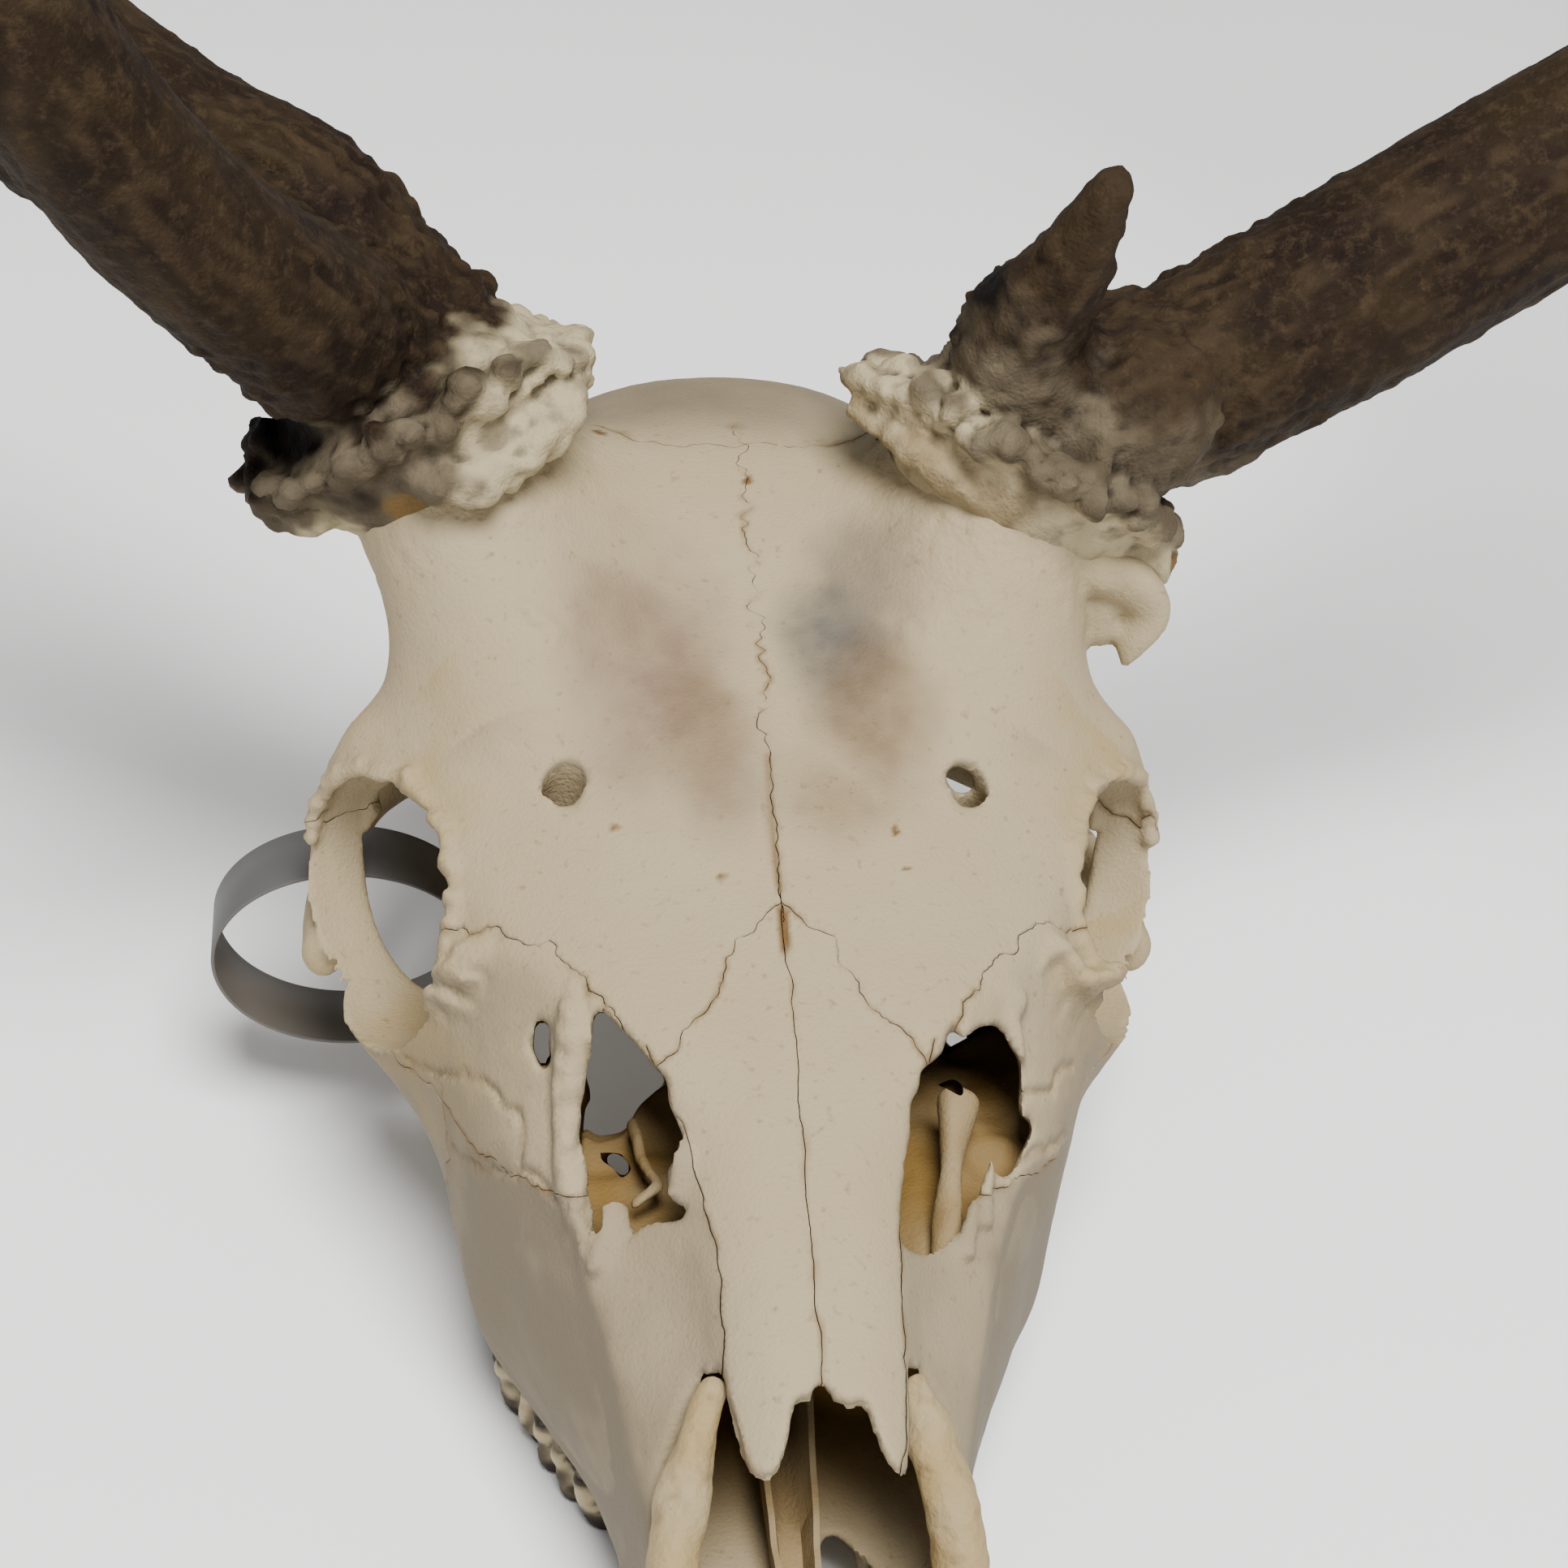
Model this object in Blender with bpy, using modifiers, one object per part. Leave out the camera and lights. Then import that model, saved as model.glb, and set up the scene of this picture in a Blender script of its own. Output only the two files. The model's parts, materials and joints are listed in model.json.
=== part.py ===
"""Fallow deer skull with antlers and a plain label band, life size.

The skull lies on its cheek teeth and on the two bony points beside the neck joint.
+X is the animal's left, +Y runs back from the muzzle and +Z is up. Working sizes are in
millimetres from the front tip of the jaw bone, and are turned to metres at the end.
"""
import math
import random

import bmesh
import bpy
import numpy as np
from mathutils import Matrix, Vector

MM = 0.001
GAP = 0.3
PART_NAME = "fallow_deer_skull"

# Lines that run along the head, like the lines of a hull: distance back, half width, height.
FACE_LINES = {
    "midline": ((44, 0, 50.2), (60.7, 0, 57.4), (92.7, 0, 71.2), (121.9, 0, 81.9), (155.3, 0, 95),
                (172, 0, 101.5)),
    "crown": ((44, 4, 50.4), (60, 5.5, 57.2), (90, 6.5, 70), (110, 11, 77.2), (125, 15, 82), (150, 18, 92),
              (172, 20, 100.3)),
    "ridge": ((44, 7.8, 49.5), (60, 10.4, 54.5), (75, 11.4, 60.5), (90, 13.4, 66.8), (100, 17, 72.5),
              (110, 22.5, 76), (125, 29, 79.3), (140, 35, 83), (155, 39, 88.5), (172, 40, 94.5)),
    "shoulder": ((44, 9.5, 46), (60, 12.5, 51), (75, 15.5, 53.5), (90, 22, 57.5), (100, 25.5, 64),
                 (110, 29.5, 70.5), (120, 36, 73), (127, 40, 74.3), (140, 45, 77.6), (150, 49, 79.3),
                 (162, 55, 81)),
    "cheek": ((44, 12, 42), (60, 16.5, 45), (75, 23, 46.5), (90, 30, 50), (105, 37.5, 54), (120, 43.5, 58.5),
              (135, 54, 62), (150, 59, 64), (162, 60.5, 66)),
    "wall": ((44, 17, 36), (60, 20.7, 35), (75, 26.3, 34), (90, 32.8, 34), (105, 38.6, 33), (115, 42.5, 40),
             (122, 45.3, 47), (135, 55.5, 49), (143, 59.6, 49), (155, 61, 51), (166, 59.5, 54)),
    "lower": ((44, 18.8, 25), (60, 21, 24), (75, 25, 22), (90, 31.5, 21), (105, 38, 21), (115, 40, 23),
              (122, 41, 27), (135, 44, 33), (143, 47, 37), (155, 48, 42), (166, 48, 46)),
    "tooth_edge": ((44, 18.5, 15), (60, 20, 13.5), (75, 20.5, 9), (90, 28, 8.5), (105, 35.2, 8.5),
                   (115, 38, 8.5),
                   (135, 38.8, 8.5), (147, 36, 10), (155, 31, 24), (166, 24, 32)),
    "palate_edge": ((44, 11, 11.5), (60, 12, 12), (75, 12, 9), (90, 17, 8.5), (105, 22, 8.5), (120, 24, 8.5),
                    (135, 24, 8.5), (147, 22, 11), (155, 18, 24), (166, 15, 32)),
    "palate": ((44, 0, 12), (60, 0, 13), (75, 0, 14.5), (100, 0, 16), (135, 0, 17), (147, 0, 20),
               (155, 0, 26),
               (166, 0, 32)),
}
FACE_FRONT, FACE_BACK, FACE_STATIONS = 44, 165, 21

# The nose passage inside the face, by the same kind of lines.
NOSE_LINES = {
    "top": ((36, 0, 45.4), (60, 0, 55.4), (92, 0, 68.4), (118, 0, 76), (135, 0, 74), (152, 0, 60)),
    "ridge": ((36, 7, 43.8), (60, 8.8, 52.6), (75, 9.5, 57.8), (90, 11.2, 63), (105, 17, 68), (118, 18, 70),
              (135, 14, 68), (152, 12, 56)),
    "cheek": ((36, 8.5, 38), (60, 12, 46), (75, 16, 49), (90, 23, 52.5), (105, 29, 62), (118, 25, 64),
              (135, 15, 60), (152, 14, 50)),
    "wall": ((36, 13, 30), (60, 17, 35), (75, 22.5, 36), (90, 28.5, 38), (105, 33.5, 42), (118, 29, 45),
             (135, 17, 46), (152, 15, 42)),
    "low": ((36, 14, 19), (60, 16.5, 20), (75, 19, 22), (90, 24, 24), (105, 28, 26), (118, 27, 27),
            (135, 17, 27),
            (152, 15, 28)),
    "floor_edge": ((36, 9, 16.5), (60, 10, 17.5), (75, 12, 18.5), (90, 15, 19.5), (105, 18, 20),
                   (118, 18, 20.5),
                   (135, 14, 21.5), (152, 12, 24)),
    "floor": ((36, 0, 16.5), (60, 0, 17.5), (75, 0, 18.5), (100, 0, 20), (135, 0, 21.5), (152, 0, 24)),
}
NOSE_FRONT, NOSE_BACK, NOSE_STATIONS = 36, 152, 11

# The roof of the brow behind the eyes: distance back, half width of its edge, height of the edge.
BROW_EDGE = ((152, 49, 78), (162, 55, 81), (168, 52, 83), (175, 48.5, 87), (185, 50, 93), (195, 50, 98),
             (203, 45, 100))
BROW_CREST = ((152, 36, 90), (165, 37, 94.5), (175, 38, 100.5), (185, 40, 107.5), (195, 40, 109),
              (203, 36, 106))
BROW_MIDLINE = ((155, 95), (172, 101.5), (193.6, 109.2), (205, 110))
# The braincase: distance back, half width, top, bottom.
BRAINCASE = ((158, 18, 86, 42), (170, 26, 96, 34), (180, 32, 101, 29), (195, 36.5, 108.5, 27),
             (210, 38.5, 109.3, 27),
             (225, 38, 103, 27), (236, 36.5, 90, 27.5), (243, 32, 76, 29), (248, 22, 62, 32))

EYE_CENTRE = (51, 144, 63)
EYE_OUTWARD = (0.85, -0.42, 0.33)
EYE_ALONG = (0.37, 0.9, 0.17)
EYE_RADII = (20.5, 18.0, 38.0)
# The share of the head's triangles that stays before it is sawn.
HEAD_SHARE = 0.5
BURR_LEFT = (38.5, 184, 112.5)
BURR_RIGHT = (-46, 187, 116)
PEDICLE_AXIS = (0.45, 0.35, 0.82)
PEDICLE_FOOT = (26, 167, 80)
# How far the burr's rings stand along the axis, and their radii.
BURR_RISES = (-2.4, -1.6, 1, 4, 7.5)
BURR_RADII = (17.5, 22.5, 24.5, 22, 17.5)
SEAT_DEPTH = 2.75

# Antlers: the bends of each beam, the steps at which it is parted, and its radius by length.
BEAM_LEFT = ((60, 191, 125), (107, 204, 146), (152, 213, 172), (186, 224, 213), (202, 234, 262),
             (203, 240, 312), (196, 244, 372), (184, 246, 430), (172, 246, 478))
BEAM_RIGHT = ((-63, 199, 139), (-106, 221, 159), (-152, 228, 182), (-186, 234, 222), (-202, 240, 268),
              (-203, 244, 316), (-197, 246, 374), (-186, 247, 432), (-174, 246, 482))
FORK_STEP, PALM_STEP, TOP_STEP = 10, 17, 30
PALM_RADII = ((0, 9.5, 22), (0.2, 7, 32), (0.45, 5.5, 42), (0.7, 4.8, 44), (0.88, 4.2, 34), (1, 2.2, 12))
PALM_POINTS = ((0.18, 34, -0.1), (0.36, 20, 0.25), (0.52, 26, 0.45), (0.68, 20, 0.7), (0.84, 30, 1.0),
               (0.99, 24, 2.2))
BROW_TINE_RIGHT = ((-12, -6, 16), (-19, -18, 29), (-33, -31, 48), (-48, -43, 75), (-57, -50, 106),
                   (-57, -54, 138),
                   (-49, -56, 166))
BEAM_RADIUS = ((0, 16.5), (10, 14.5), (30, 14), (60, 14), (140, 13.5), (250, 12.5), (300, 12))

# The label band: middle, inner radii, width and thickness.
BAND_CENTRE = (-56, 173.5, 34.6)
BAND_RADII = (19.4, 15.7)
BAND_WIDTH = 12
BAND_THICK = 0.6
BAND_STEPS = 28

# A point on each left bone, by which it is known after sawing.
CRANIUM_POINT = (0, 215, 108)
BONES = {"frontal": (20, 160, 94), "nasal": (5, 90, 70), "maxilla": (33, 92, 34), "lacrimal": (34, 114, 71),
         "zygomatic": (59, 143, 49)}

# Colour and roughness of each kind of surface.
FINISHES = {
    "bone": ((0.80, 0.74, 0.63), 0.55),
    "antler": ((0.13, 0.085, 0.055), 0.6),
    "tape": ((0.62, 0.63, 0.66), 0.4),
}


def along(knots, t):
    """Values at t on a smooth curve through knots, which are tuples of t and its values."""
    k = np.array(knots, float)
    t = min(max(t, k[0, 0]), k[-1, 0])
    i = min(max(int(np.searchsorted(k[:, 0], t, side="right")) - 1, 0), len(k) - 2)
    steps = np.diff(k[:, 1:], axis=0) / np.diff(k[:, :1], axis=0)

    def slope(j):
        if j == 0 or j == len(k) - 1:
            return steps[min(j, len(steps) - 1)]
        before, after = steps[j - 1], steps[j]
        same = before * after > 0
        return np.where(same, 2 * before * after / np.where(same, before + after, 1), 0)

    h = k[i + 1, 0] - k[i, 0]
    s = (t - k[i, 0]) / h
    return ((1 + 2 * s) * (1 - s) ** 2 * k[i, 1:] + s * s * (3 - 2 * s) * k[i + 1, 1:]
            + s * (1 - s) ** 2 * h * slope(i) + s * s * (s - 1) * h * slope(i + 1))


def curve_through(points, per_span):
    """Catmull-Rom points through a list of points, with per_span steps in each span."""
    p = [np.array(q, float) for q in points]
    p = [2 * p[0] - p[1]] + p + [2 * p[-1] - p[-2]]
    out = []
    for a, b, c, d in zip(p, p[1:], p[2:], p[3:]):
        for step in range(per_span):
            s = step / per_span
            square, cube = 2 * a - 5 * b + 4 * c - d, 3 * b - a - 3 * c + d
            out.append(0.5 * (2 * b + (c - a) * s + square * s ** 2 + cube * s ** 3))
    out.append(p[-2])
    return out


def unit(v):
    """The vector at length one."""
    return np.array(v, float) / np.linalg.norm(v)


def collection(name):
    """A collection under the scene's own."""
    made = bpy.data.collections.new(name)
    bpy.context.scene.collection.children.link(made)
    return made


def add_object(name, bm, home):
    """Makes an object from a bmesh and puts it in a collection."""
    bmesh.ops.triangulate(bm, faces=bm.faces)
    bmesh.ops.recalc_face_normals(bm, faces=bm.faces)
    mesh = bpy.data.meshes.new(name)
    bm.to_mesh(mesh)
    bm.free()
    obj = bpy.data.objects.new(name, mesh)
    home.objects.link(obj)
    return obj


def loft(name, rings, home):
    """Closed solid through rings of points in millimetres, each end closed by a fan."""
    bm = bmesh.new()
    loops = [[bm.verts.new(Vector(p) * MM) for p in ring] for ring in rings]
    for a, b in zip(loops, loops[1:]):
        for i in range(len(a)):
            j = (i + 1) % len(a)
            bm.faces.new((a[i], a[j], b[j], b[i]))
    for ring in (loops[0], loops[-1]):
        hub = bm.verts.new(sum((v.co for v in ring), Vector()) / len(ring))
        for i in range(len(ring)):
            bm.faces.new((ring[i], ring[(i + 1) % len(ring)], hub))
    return add_object(name, bm, home)


def tube(name, points, radii, home, sides=12, flat=None, shape=None, first=None, last=None):
    """Tube along points. Each radius is a number or a pair (across, along flat).

    first and last are the directions that its two end faces are square to, where they're given.
    """
    points = [np.array(p, float) for p in points]
    side = np.array(flat if flat is not None else (0.0, 0.0, 1.0))
    rings = []
    for i, p in enumerate(points):
        tangent = unit(points[min(i + 1, len(points) - 1)] - points[max(i - 1, 0)])
        if i == 0 and first is not None:
            tangent = first
        if i == len(points) - 1 and last is not None:
            tangent = last
        side = unit(side - tangent * (side @ tangent))
        other = np.cross(tangent, side)
        across, deep = radii[i] if hasattr(radii[i], "__len__") else (radii[i], radii[i])
        ring = []
        for k in range(sides):
            angle = 2 * math.pi * k / sides
            bump = shape(i, angle) if shape else 1.0
            ring.append(p + bump * (side * math.sin(angle) * deep + other * math.cos(angle) * across))
        rings.append(ring)
    return loft(name, rings, home)


def ellipsoid(name, centre, radii, home, axes=None):
    """Ellipsoid with its radii along three given axes."""
    bm = bmesh.new()
    bmesh.ops.create_uvsphere(bm, u_segments=14, v_segments=8, radius=1)
    frame = Matrix.Identity(3) if axes is None else Matrix([unit(a) for a in axes]).transposed()
    for v in bm.verts:
        v.co = (Vector(centre) + frame @ Vector([r * c for r, c in zip(radii, v.co)])) * MM
    return add_object(name, bm, home)


def sheet(name, rows, home, thick=GAP):
    """Thin solid on a grid of points, used as a saw cut."""
    bm = bmesh.new()
    grid = [[bm.verts.new(Vector(p) * MM) for p in row] for row in rows]
    for a, b in zip(grid, grid[1:]):
        for i in range(len(a) - 1):
            bm.faces.new((a[i], a[i + 1], b[i + 1], b[i]))
    bmesh.ops.triangulate(bm, faces=bm.faces)
    obj = add_object(name, bm, home)
    wall = obj.modifiers.new("wall", "SOLIDIFY")
    wall.thickness = thick * MM
    wall.offset = 0
    return bake(obj)


def bake(obj):
    """Applies the modifiers of an object to its mesh."""
    graph = bpy.context.evaluated_depsgraph_get()
    mesh = bpy.data.meshes.new_from_object(obj.evaluated_get(graph))
    obj.modifiers.clear()
    obj.data = mesh
    return obj


def combine(target, tools, operation):
    """One Boolean of the target with a collection of tools, which is then removed."""
    modifier = target.modifiers.new("combine", "BOOLEAN")
    modifier.operand_type = "COLLECTION"
    modifier.collection = tools
    modifier.operation = operation
    modifier.solver = "EXACT"
    bake(target)
    for tool in list(tools.objects):
        bpy.data.objects.remove(tool)
    bpy.data.collections.remove(tools)
    return target


def islands(bm):
    """The separate closed surfaces of a mesh, as lists of vertices."""
    left = set(bm.verts)
    found = []
    while left:
        stack = [left.pop()]
        group = list(stack)
        while stack:
            for edge in stack.pop().link_edges:
                for v in edge.verts:
                    if v in left:
                        left.remove(v)
                        stack.append(v)
                        group.append(v)
        found.append(group)
    return found


def keep_island(obj, seed=None):
    """Keeps the surface nearest to a seed point, or the largest one where there is no seed."""
    bm = bmesh.new()
    bm.from_mesh(obj.data)
    groups = islands(bm)
    if seed is None:
        best = max(groups, key=len)
    else:
        point = Vector(seed) * MM
        best = min(groups, key=lambda g: min((v.co - point).length for v in g) if len(g) > 20 else 1.0)
    keep = set(best)
    bmesh.ops.delete(bm, geom=[v for v in bm.verts if v not in keep], context="VERTS")
    bm.to_mesh(obj.data)
    bm.free()
    return obj


def face_ring(lines, y, per_span=2):
    """One closed ring of the face at a distance back, from its half profile."""
    half = [along(knots, y) for knots in lines.values()]
    points = curve_through(half, per_span)
    left = [(p[0], y, p[1]) for p in points]
    right = [(-p[0], y, p[1]) for p in reversed(points[1:-1])]
    return left + right


def face_hull(home):
    """The face from the nose to the back of the eye rim, before it is carved."""
    stations = np.linspace(FACE_FRONT, FACE_BACK, FACE_STATIONS)
    return loft("face", [face_ring(FACE_LINES, y) for y in stations], home)


def brow_roof(home):
    """The broad roof behind the eyes that carries the antlers."""
    rings = []
    for y in np.linspace(152, 203, 9):
        middle = along(BROW_MIDLINE, y)[0] if y > 155 else along(FACE_LINES["midline"], y)[1]
        x, z = along(BROW_EDGE, y)
        crest_x, crest_z = along(BROW_CREST, y)
        half = [(0, middle), (20, (middle + crest_z) / 2 + 1.2), (crest_x, crest_z), (x, z), (x - 2, z - 6),
                (30, middle - 19), (0, middle - 22)]
        points = curve_through(half, 2)
        rings.append([(p[0], y, p[1]) for p in points] + [(-p[0], y, p[1]) for p in reversed(points[1:-1])])
    return loft("brow", rings, home)


def braincase(home):
    """The rounded case behind the brow."""
    rings = []
    power = 2 / 2.4
    for y in np.linspace(158, 248, 13):
        half, top, bottom = along(BRAINCASE, y)
        ring = []
        for k in range(20):
            angle = 2 * math.pi * k / 20
            c, s = math.cos(angle), math.sin(angle)
            x = half * math.copysign(abs(c) ** power, c)
            z = (top + bottom) / 2 + (top - bottom) / 2 * math.copysign(abs(s) ** power, s)
            ring.append((x, y, z))
        rings.append(ring)
    return loft("case", rings, home)


def head_base(home):
    """What stands out below and behind the braincase, on both sides."""
    tube("keel", [(0, 246, 36), (0, 225, 32), (0, 200, 30), (0, 180, 33), (0, 160, 42)],
         [(11, 6), (10, 6.5), (8.5, 6), (7, 6), (5, 6)], home)
    arc = []
    for a in np.linspace(0.1, math.pi - 0.1, 9):
        arc.append((40 * math.cos(a), 234 + 4 * math.sin(a), 44 + 44 * math.sin(a)))
    tube("nape_crest", arc, [3.2] * 9, home, sides=6)
    for s in (1, -1):
        ellipsoid("neck_joint", (13.5 * s, 246, 38), (9, 8, 11), home)
        ellipsoid("ear_bulb", (19 * s, 208, 24), (7.5, 11, 10), home)
        tube("ear_tube", [(28 * s, 214, 40), (37 * s, 217, 46), (42 * s, 218, 50)], [6, 5.5, 4.5], home,
             sides=8)
        tube("temple_arch", [(34 * s, 212, 48), (44 * s, 206, 45), (52 * s, 196, 44), (57 * s, 182, 44.5),
                             (59.5 * s, 168, 45.5), (59.5 * s, 155, 46)],
             [(5, 8), (4, 5.5), (2.6, 4), (2.4, 3.8), (2.4, 3.8), (3, 4)], home, sides=8)
        tube("wing", [(17 * s, 152, 38), (17.5 * s, 162, 30), (16 * s, 174, 27), (11 * s, 190, 32)],
             [(2, 6), (1.8, 8), (2, 7), (2.5, 5)], home, sides=6)


def pedicles(home):
    """The bony stalks under the antlers, which spread into the brow."""
    for s, burr in ((1, BURR_LEFT), (-1, BURR_RIGHT)):
        axis = unit(PEDICLE_AXIS) * np.array([s, 1, 1])
        seat = np.array(burr, float)
        foot = np.array(PEDICLE_FOOT) * np.array([s, 1, 1])
        rings = []
        for share, wide, deep in ((0, 17, 17.5), (0.3, 16.5, 18), (0.65, 17.5, 22), (1, 20, 27)):
            normal = unit(axis * (1 - share) + np.array([0, 0, 1]) * share)
            across = unit(np.cross((0, 1, 0), normal))
            back = np.cross(normal, across)
            centre = seat + (foot - seat) * share
            turns = np.linspace(0, 2 * math.pi, 17)[:-1]
            rings.append([centre + across * wide * math.cos(a) + back * deep * math.sin(a) for a in turns])
        loft("pedicle", rings, home)


def neck_points(home):
    """The bony points beside the neck joint, with level ends that the skull rests on."""
    turns = np.linspace(0, 2 * math.pi, 9)[:-1]
    sections = ((28, 226, 46, 8, 9), (26, 229, 26, 5.5, 7), (24, 231, 9, 3.6, 4.6), (23.4, 231.6, 0, 2.4, 3))
    for s in (1, -1):
        rings = []
        for x, y, z, wide, deep in sections:
            rings.append([(s * x + wide * math.cos(a), y + deep * math.sin(a), z) for a in turns])
        loft("neck_point", rings, home)


def teeth(home):
    """Six cheek teeth on each side, the front three single and the back three in two lobes."""
    row = ((76, 17.5), (90, 24.5), (105, 30.5), (120, 32.5), (135, 32.5), (148, 30.5))
    lengths = (10.5, 10.5, 10, 13, 14.5, 16)
    widths = (7.5, 9, 10, 13, 14, 13)
    for s in (1, -1):
        y = 75.5
        for length, width in zip(lengths, widths):
            lobes = 1 if width < 11 else 2
            for lobe in range(lobes):
                span = length / lobes
                middle = y + span * (lobe + 0.5)
                x = along(row, middle)[0]
                heading = along(row, middle + 3)[0] - along(row, middle - 3)[0]
                angle = math.atan2(heading, 6)
                rings = []
                for z, grow in ((13, 0.96), (2, 0.95), (0, 0.8)):
                    ring = []
                    for k in range(8):
                        turn = 2 * math.pi * (k + 0.5) / 8
                        u = math.cos(turn) * width / 2 * grow
                        v = math.sin(turn) * span * 0.56 * grow
                        ring.append((s * (x + u * math.cos(angle) + v * math.sin(angle)),
                                     middle - u * math.sin(angle) + v * math.cos(angle), z))
                    rings.append(ring)
                loft("tooth", rings, home)
            y += length


def plan_prism(name, outline, low, high, home):
    """Upright prism on an outline in plan."""
    loft(name, [[(x, y, z) for x, y in outline] for z in (low, high)], home)


def side_prism(name, outline, left, right, home):
    """Level prism through the head on an outline of (back, height) points."""
    loft(name, [[(x, y, z) for y, z in outline] for x in (left, right)], home)


def carve_head(head):
    """Opens the eye sockets, the temples, the nose, the side windows and the small holes."""
    tools = collection("carving")
    stations = np.linspace(NOSE_FRONT, NOSE_BACK, NOSE_STATIONS)
    loft("nose", [face_ring(NOSE_LINES, y, 2) for y in stations], tools)
    front = [(20, -5), (39, -5), (41, 13), (48.5, 25), (60.5, 40), (67.8, 53), (60, 51.6), (44, 45.5),
             (20, 36)]
    side_prism("nose_front", front, -40, 40, tools)
    tips = [(0.0, 61.5), (2.6, 57.6), (4.4, 59.4), (6.8, 52.6), (8.6, 51.8), (10.2, 55), (12.5, 58)]
    edge = [(-x, y) for x, y in reversed(tips[1:])] + tips
    plan_prism("nose_tips", [(-30, 58), (-30, 30), (30, 30), (30, 58)] + list(reversed(edge)), 44.5, 80,
               tools)
    window = [(23.5, 111), (26, 104), (25.8, 97), (24, 90.5), (19.5, 85), (14.8, 82), (12.8, 84), (13.6, 91),
              (18.3, 102)]
    for s in (1, -1):
        side = np.array([s, 1, 1])
        burr = np.array(BURR_LEFT if s > 0 else BURR_RIGHT)
        axis = unit(PEDICLE_AXIS) * side
        tube("burr_seat", [burr - axis * SEAT_DEPTH, burr + axis * 24], [27.6, 27.6], tools, sides=16)
        outward = unit(EYE_OUTWARD) * side
        lengthways = unit(EYE_ALONG) * side
        upward = np.cross(outward, lengthways)
        centre = np.array(EYE_CENTRE) * side + outward * 4
        ellipsoid("eye_socket", centre, (EYE_RADII[2], EYE_RADII[0], EYE_RADII[1]), tools,
                  (outward, lengthways, upward))
        ellipsoid("temple_hollow", (40 * s, 169, 55), (14, 24, 23), tools)
        ellipsoid("temple_side", (52 * s, 186, 66), (15, 17, 17), tools)
        slope = ((1, 0, 0), (0, 0.81, -0.58), (0, 0.58, 0.81))
        ellipsoid("throat_opening", (9.5 * s, 162, 36), (7.5, 36, 11), tools, slope)
        plan_prism("side_window", [(x * s, y) for x, y in window], 48, 92, tools)
        tube("brow_hole", [(27 * s, 140.5, 94), (27.5 * s, 142, 84), (31 * s, 145, 66)], [2.8, 2.6, 2.6],
             tools, sides=8)
    ellipsoid("neck_hole", (0, 252, 48), (10.5, 20, 9.5), tools)
    combine(head, tools, "DIFFERENCE")
    fewer = head.modifiers.new("fewer", "DECIMATE")
    fewer.ratio = HEAD_SHARE
    bake(head)


def brow_front(x):
    """Where the front edge of the brow bone lies, by distance from the midline."""
    return along(((0, 122), (6, 116), (10, 108), (14, 104), (17.5, 100.4), (23.7, 109.5), (30, 118),
                  (38, 125),
                  (50, 131), (72, 134)), x)[0]


def brow_floor(x):
    """The saw line below the brow bone: (back, height) points, from its front edge to its back edge."""
    x = abs(x)
    start = brow_front(x)
    back = 193 + 14 * min(max((x - 16) / 18, 0), 1)
    fall = (x / 55) ** 1.6
    path = [(start, 120), (start, 100)]
    for y in (start, (start + 158) / 2, 158, 169, 182):
        drop = (13 + 19 * min(max((y - 158) / 11, 0), 1)) * fall
        roof = along(FACE_LINES["midline"], min(y, 172))[1] + max(y - 172, 0) * 0.36
        path.append((y, roof - 10 - drop))
    return path + [(back - 4, 97 - 13 * fall), (back, 106), (back + 1, 125)]


def part_head(head):
    """Saws the head along its seams into its bones."""
    saws = collection("saws")
    across = (0, 6, 10, 14, 17.5, 23.7, 30, 38, 50, 72)
    columns = [-x for x in reversed(across[1:])] + list(across)
    sheet("brow_saw", [[(x, y, z) for y, z in brow_floor(x)] for x in columns], saws)
    sheet("brow_middle_saw", [[(0.0, y, z), (0.0, y, 130)] for y, z in brow_floor(0)[2:]], saws)
    sheet("face_middle_saw", [[(0.0, y, z) for z in (-5, 95)] for y in (30, 80, 121.95)], saws)
    sheet("hind_middle_saw", [[(0.0, y, z) for z in (-5, 73.2)] for y in (121, 125.1)], saws)
    sheet("throat_saw", [[(0.0, y, z) for z in (-5, 28.2)] for y in (124, 140, 175)], saws)
    wall = ((-41, 137), (-34, 131), (-20, 125), (20, 125), (34, 131), (41, 137))
    sheet("front_wall_saw", [[(x, y, z) for z in (20, 68, 75)] for x, y in wall], saws)
    floor = ((124.8, 28), (150, 28), (157, 24), (162, -5))
    sheet("floor_saw", [[(x, y, z) for x in (-34.3, 0, 34.3)] for y, z in floor], saws)
    edge = ((38, 7.2), (50, 8.4), (60, 10.8), (75, 11.3), (85, 12.6), (92, 14), (101.5, 18.2))
    cheek = ((89, 80), (91, 58), (102, 53), (111, 51), (120, 51.5), (127, 50), (136, 57))
    jugal = ((121.5, 53), (114.5, 44), (117, 36), (125, 30.5), (140, 27.6), (158, 26), (166, 10))
    for s in (1, -1):
        rows = []
        for y in np.linspace(38, 101.5, 10):
            top = along(FACE_LINES["midline"], y)[1]
            rows.append([(s * along(edge, y)[0], y, z) for z in (top - 12, top + 6)])
        sheet("nasal_saw", rows, saws)
        sheet("tear_saw", [[(x * s, y, z) for x in (19, 45, 70)] for y, z in cheek], saws)
        sheet("cheek_saw", [[(x * s, y, z) for x in (22, 45, 70)] for y, z in jugal], saws)
        sheet("socket_floor_saw", [[(34 * s, y, z) for z in (5, 66)] for y in (129.5, 150, 175)], saws)
        sheet("arch_saw", [[(x * s, y, z) for z in (30, 62)] for x, y in ((44, 174), (72, 189))], saws)
    combine(head, saws, "DIFFERENCE")


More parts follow.
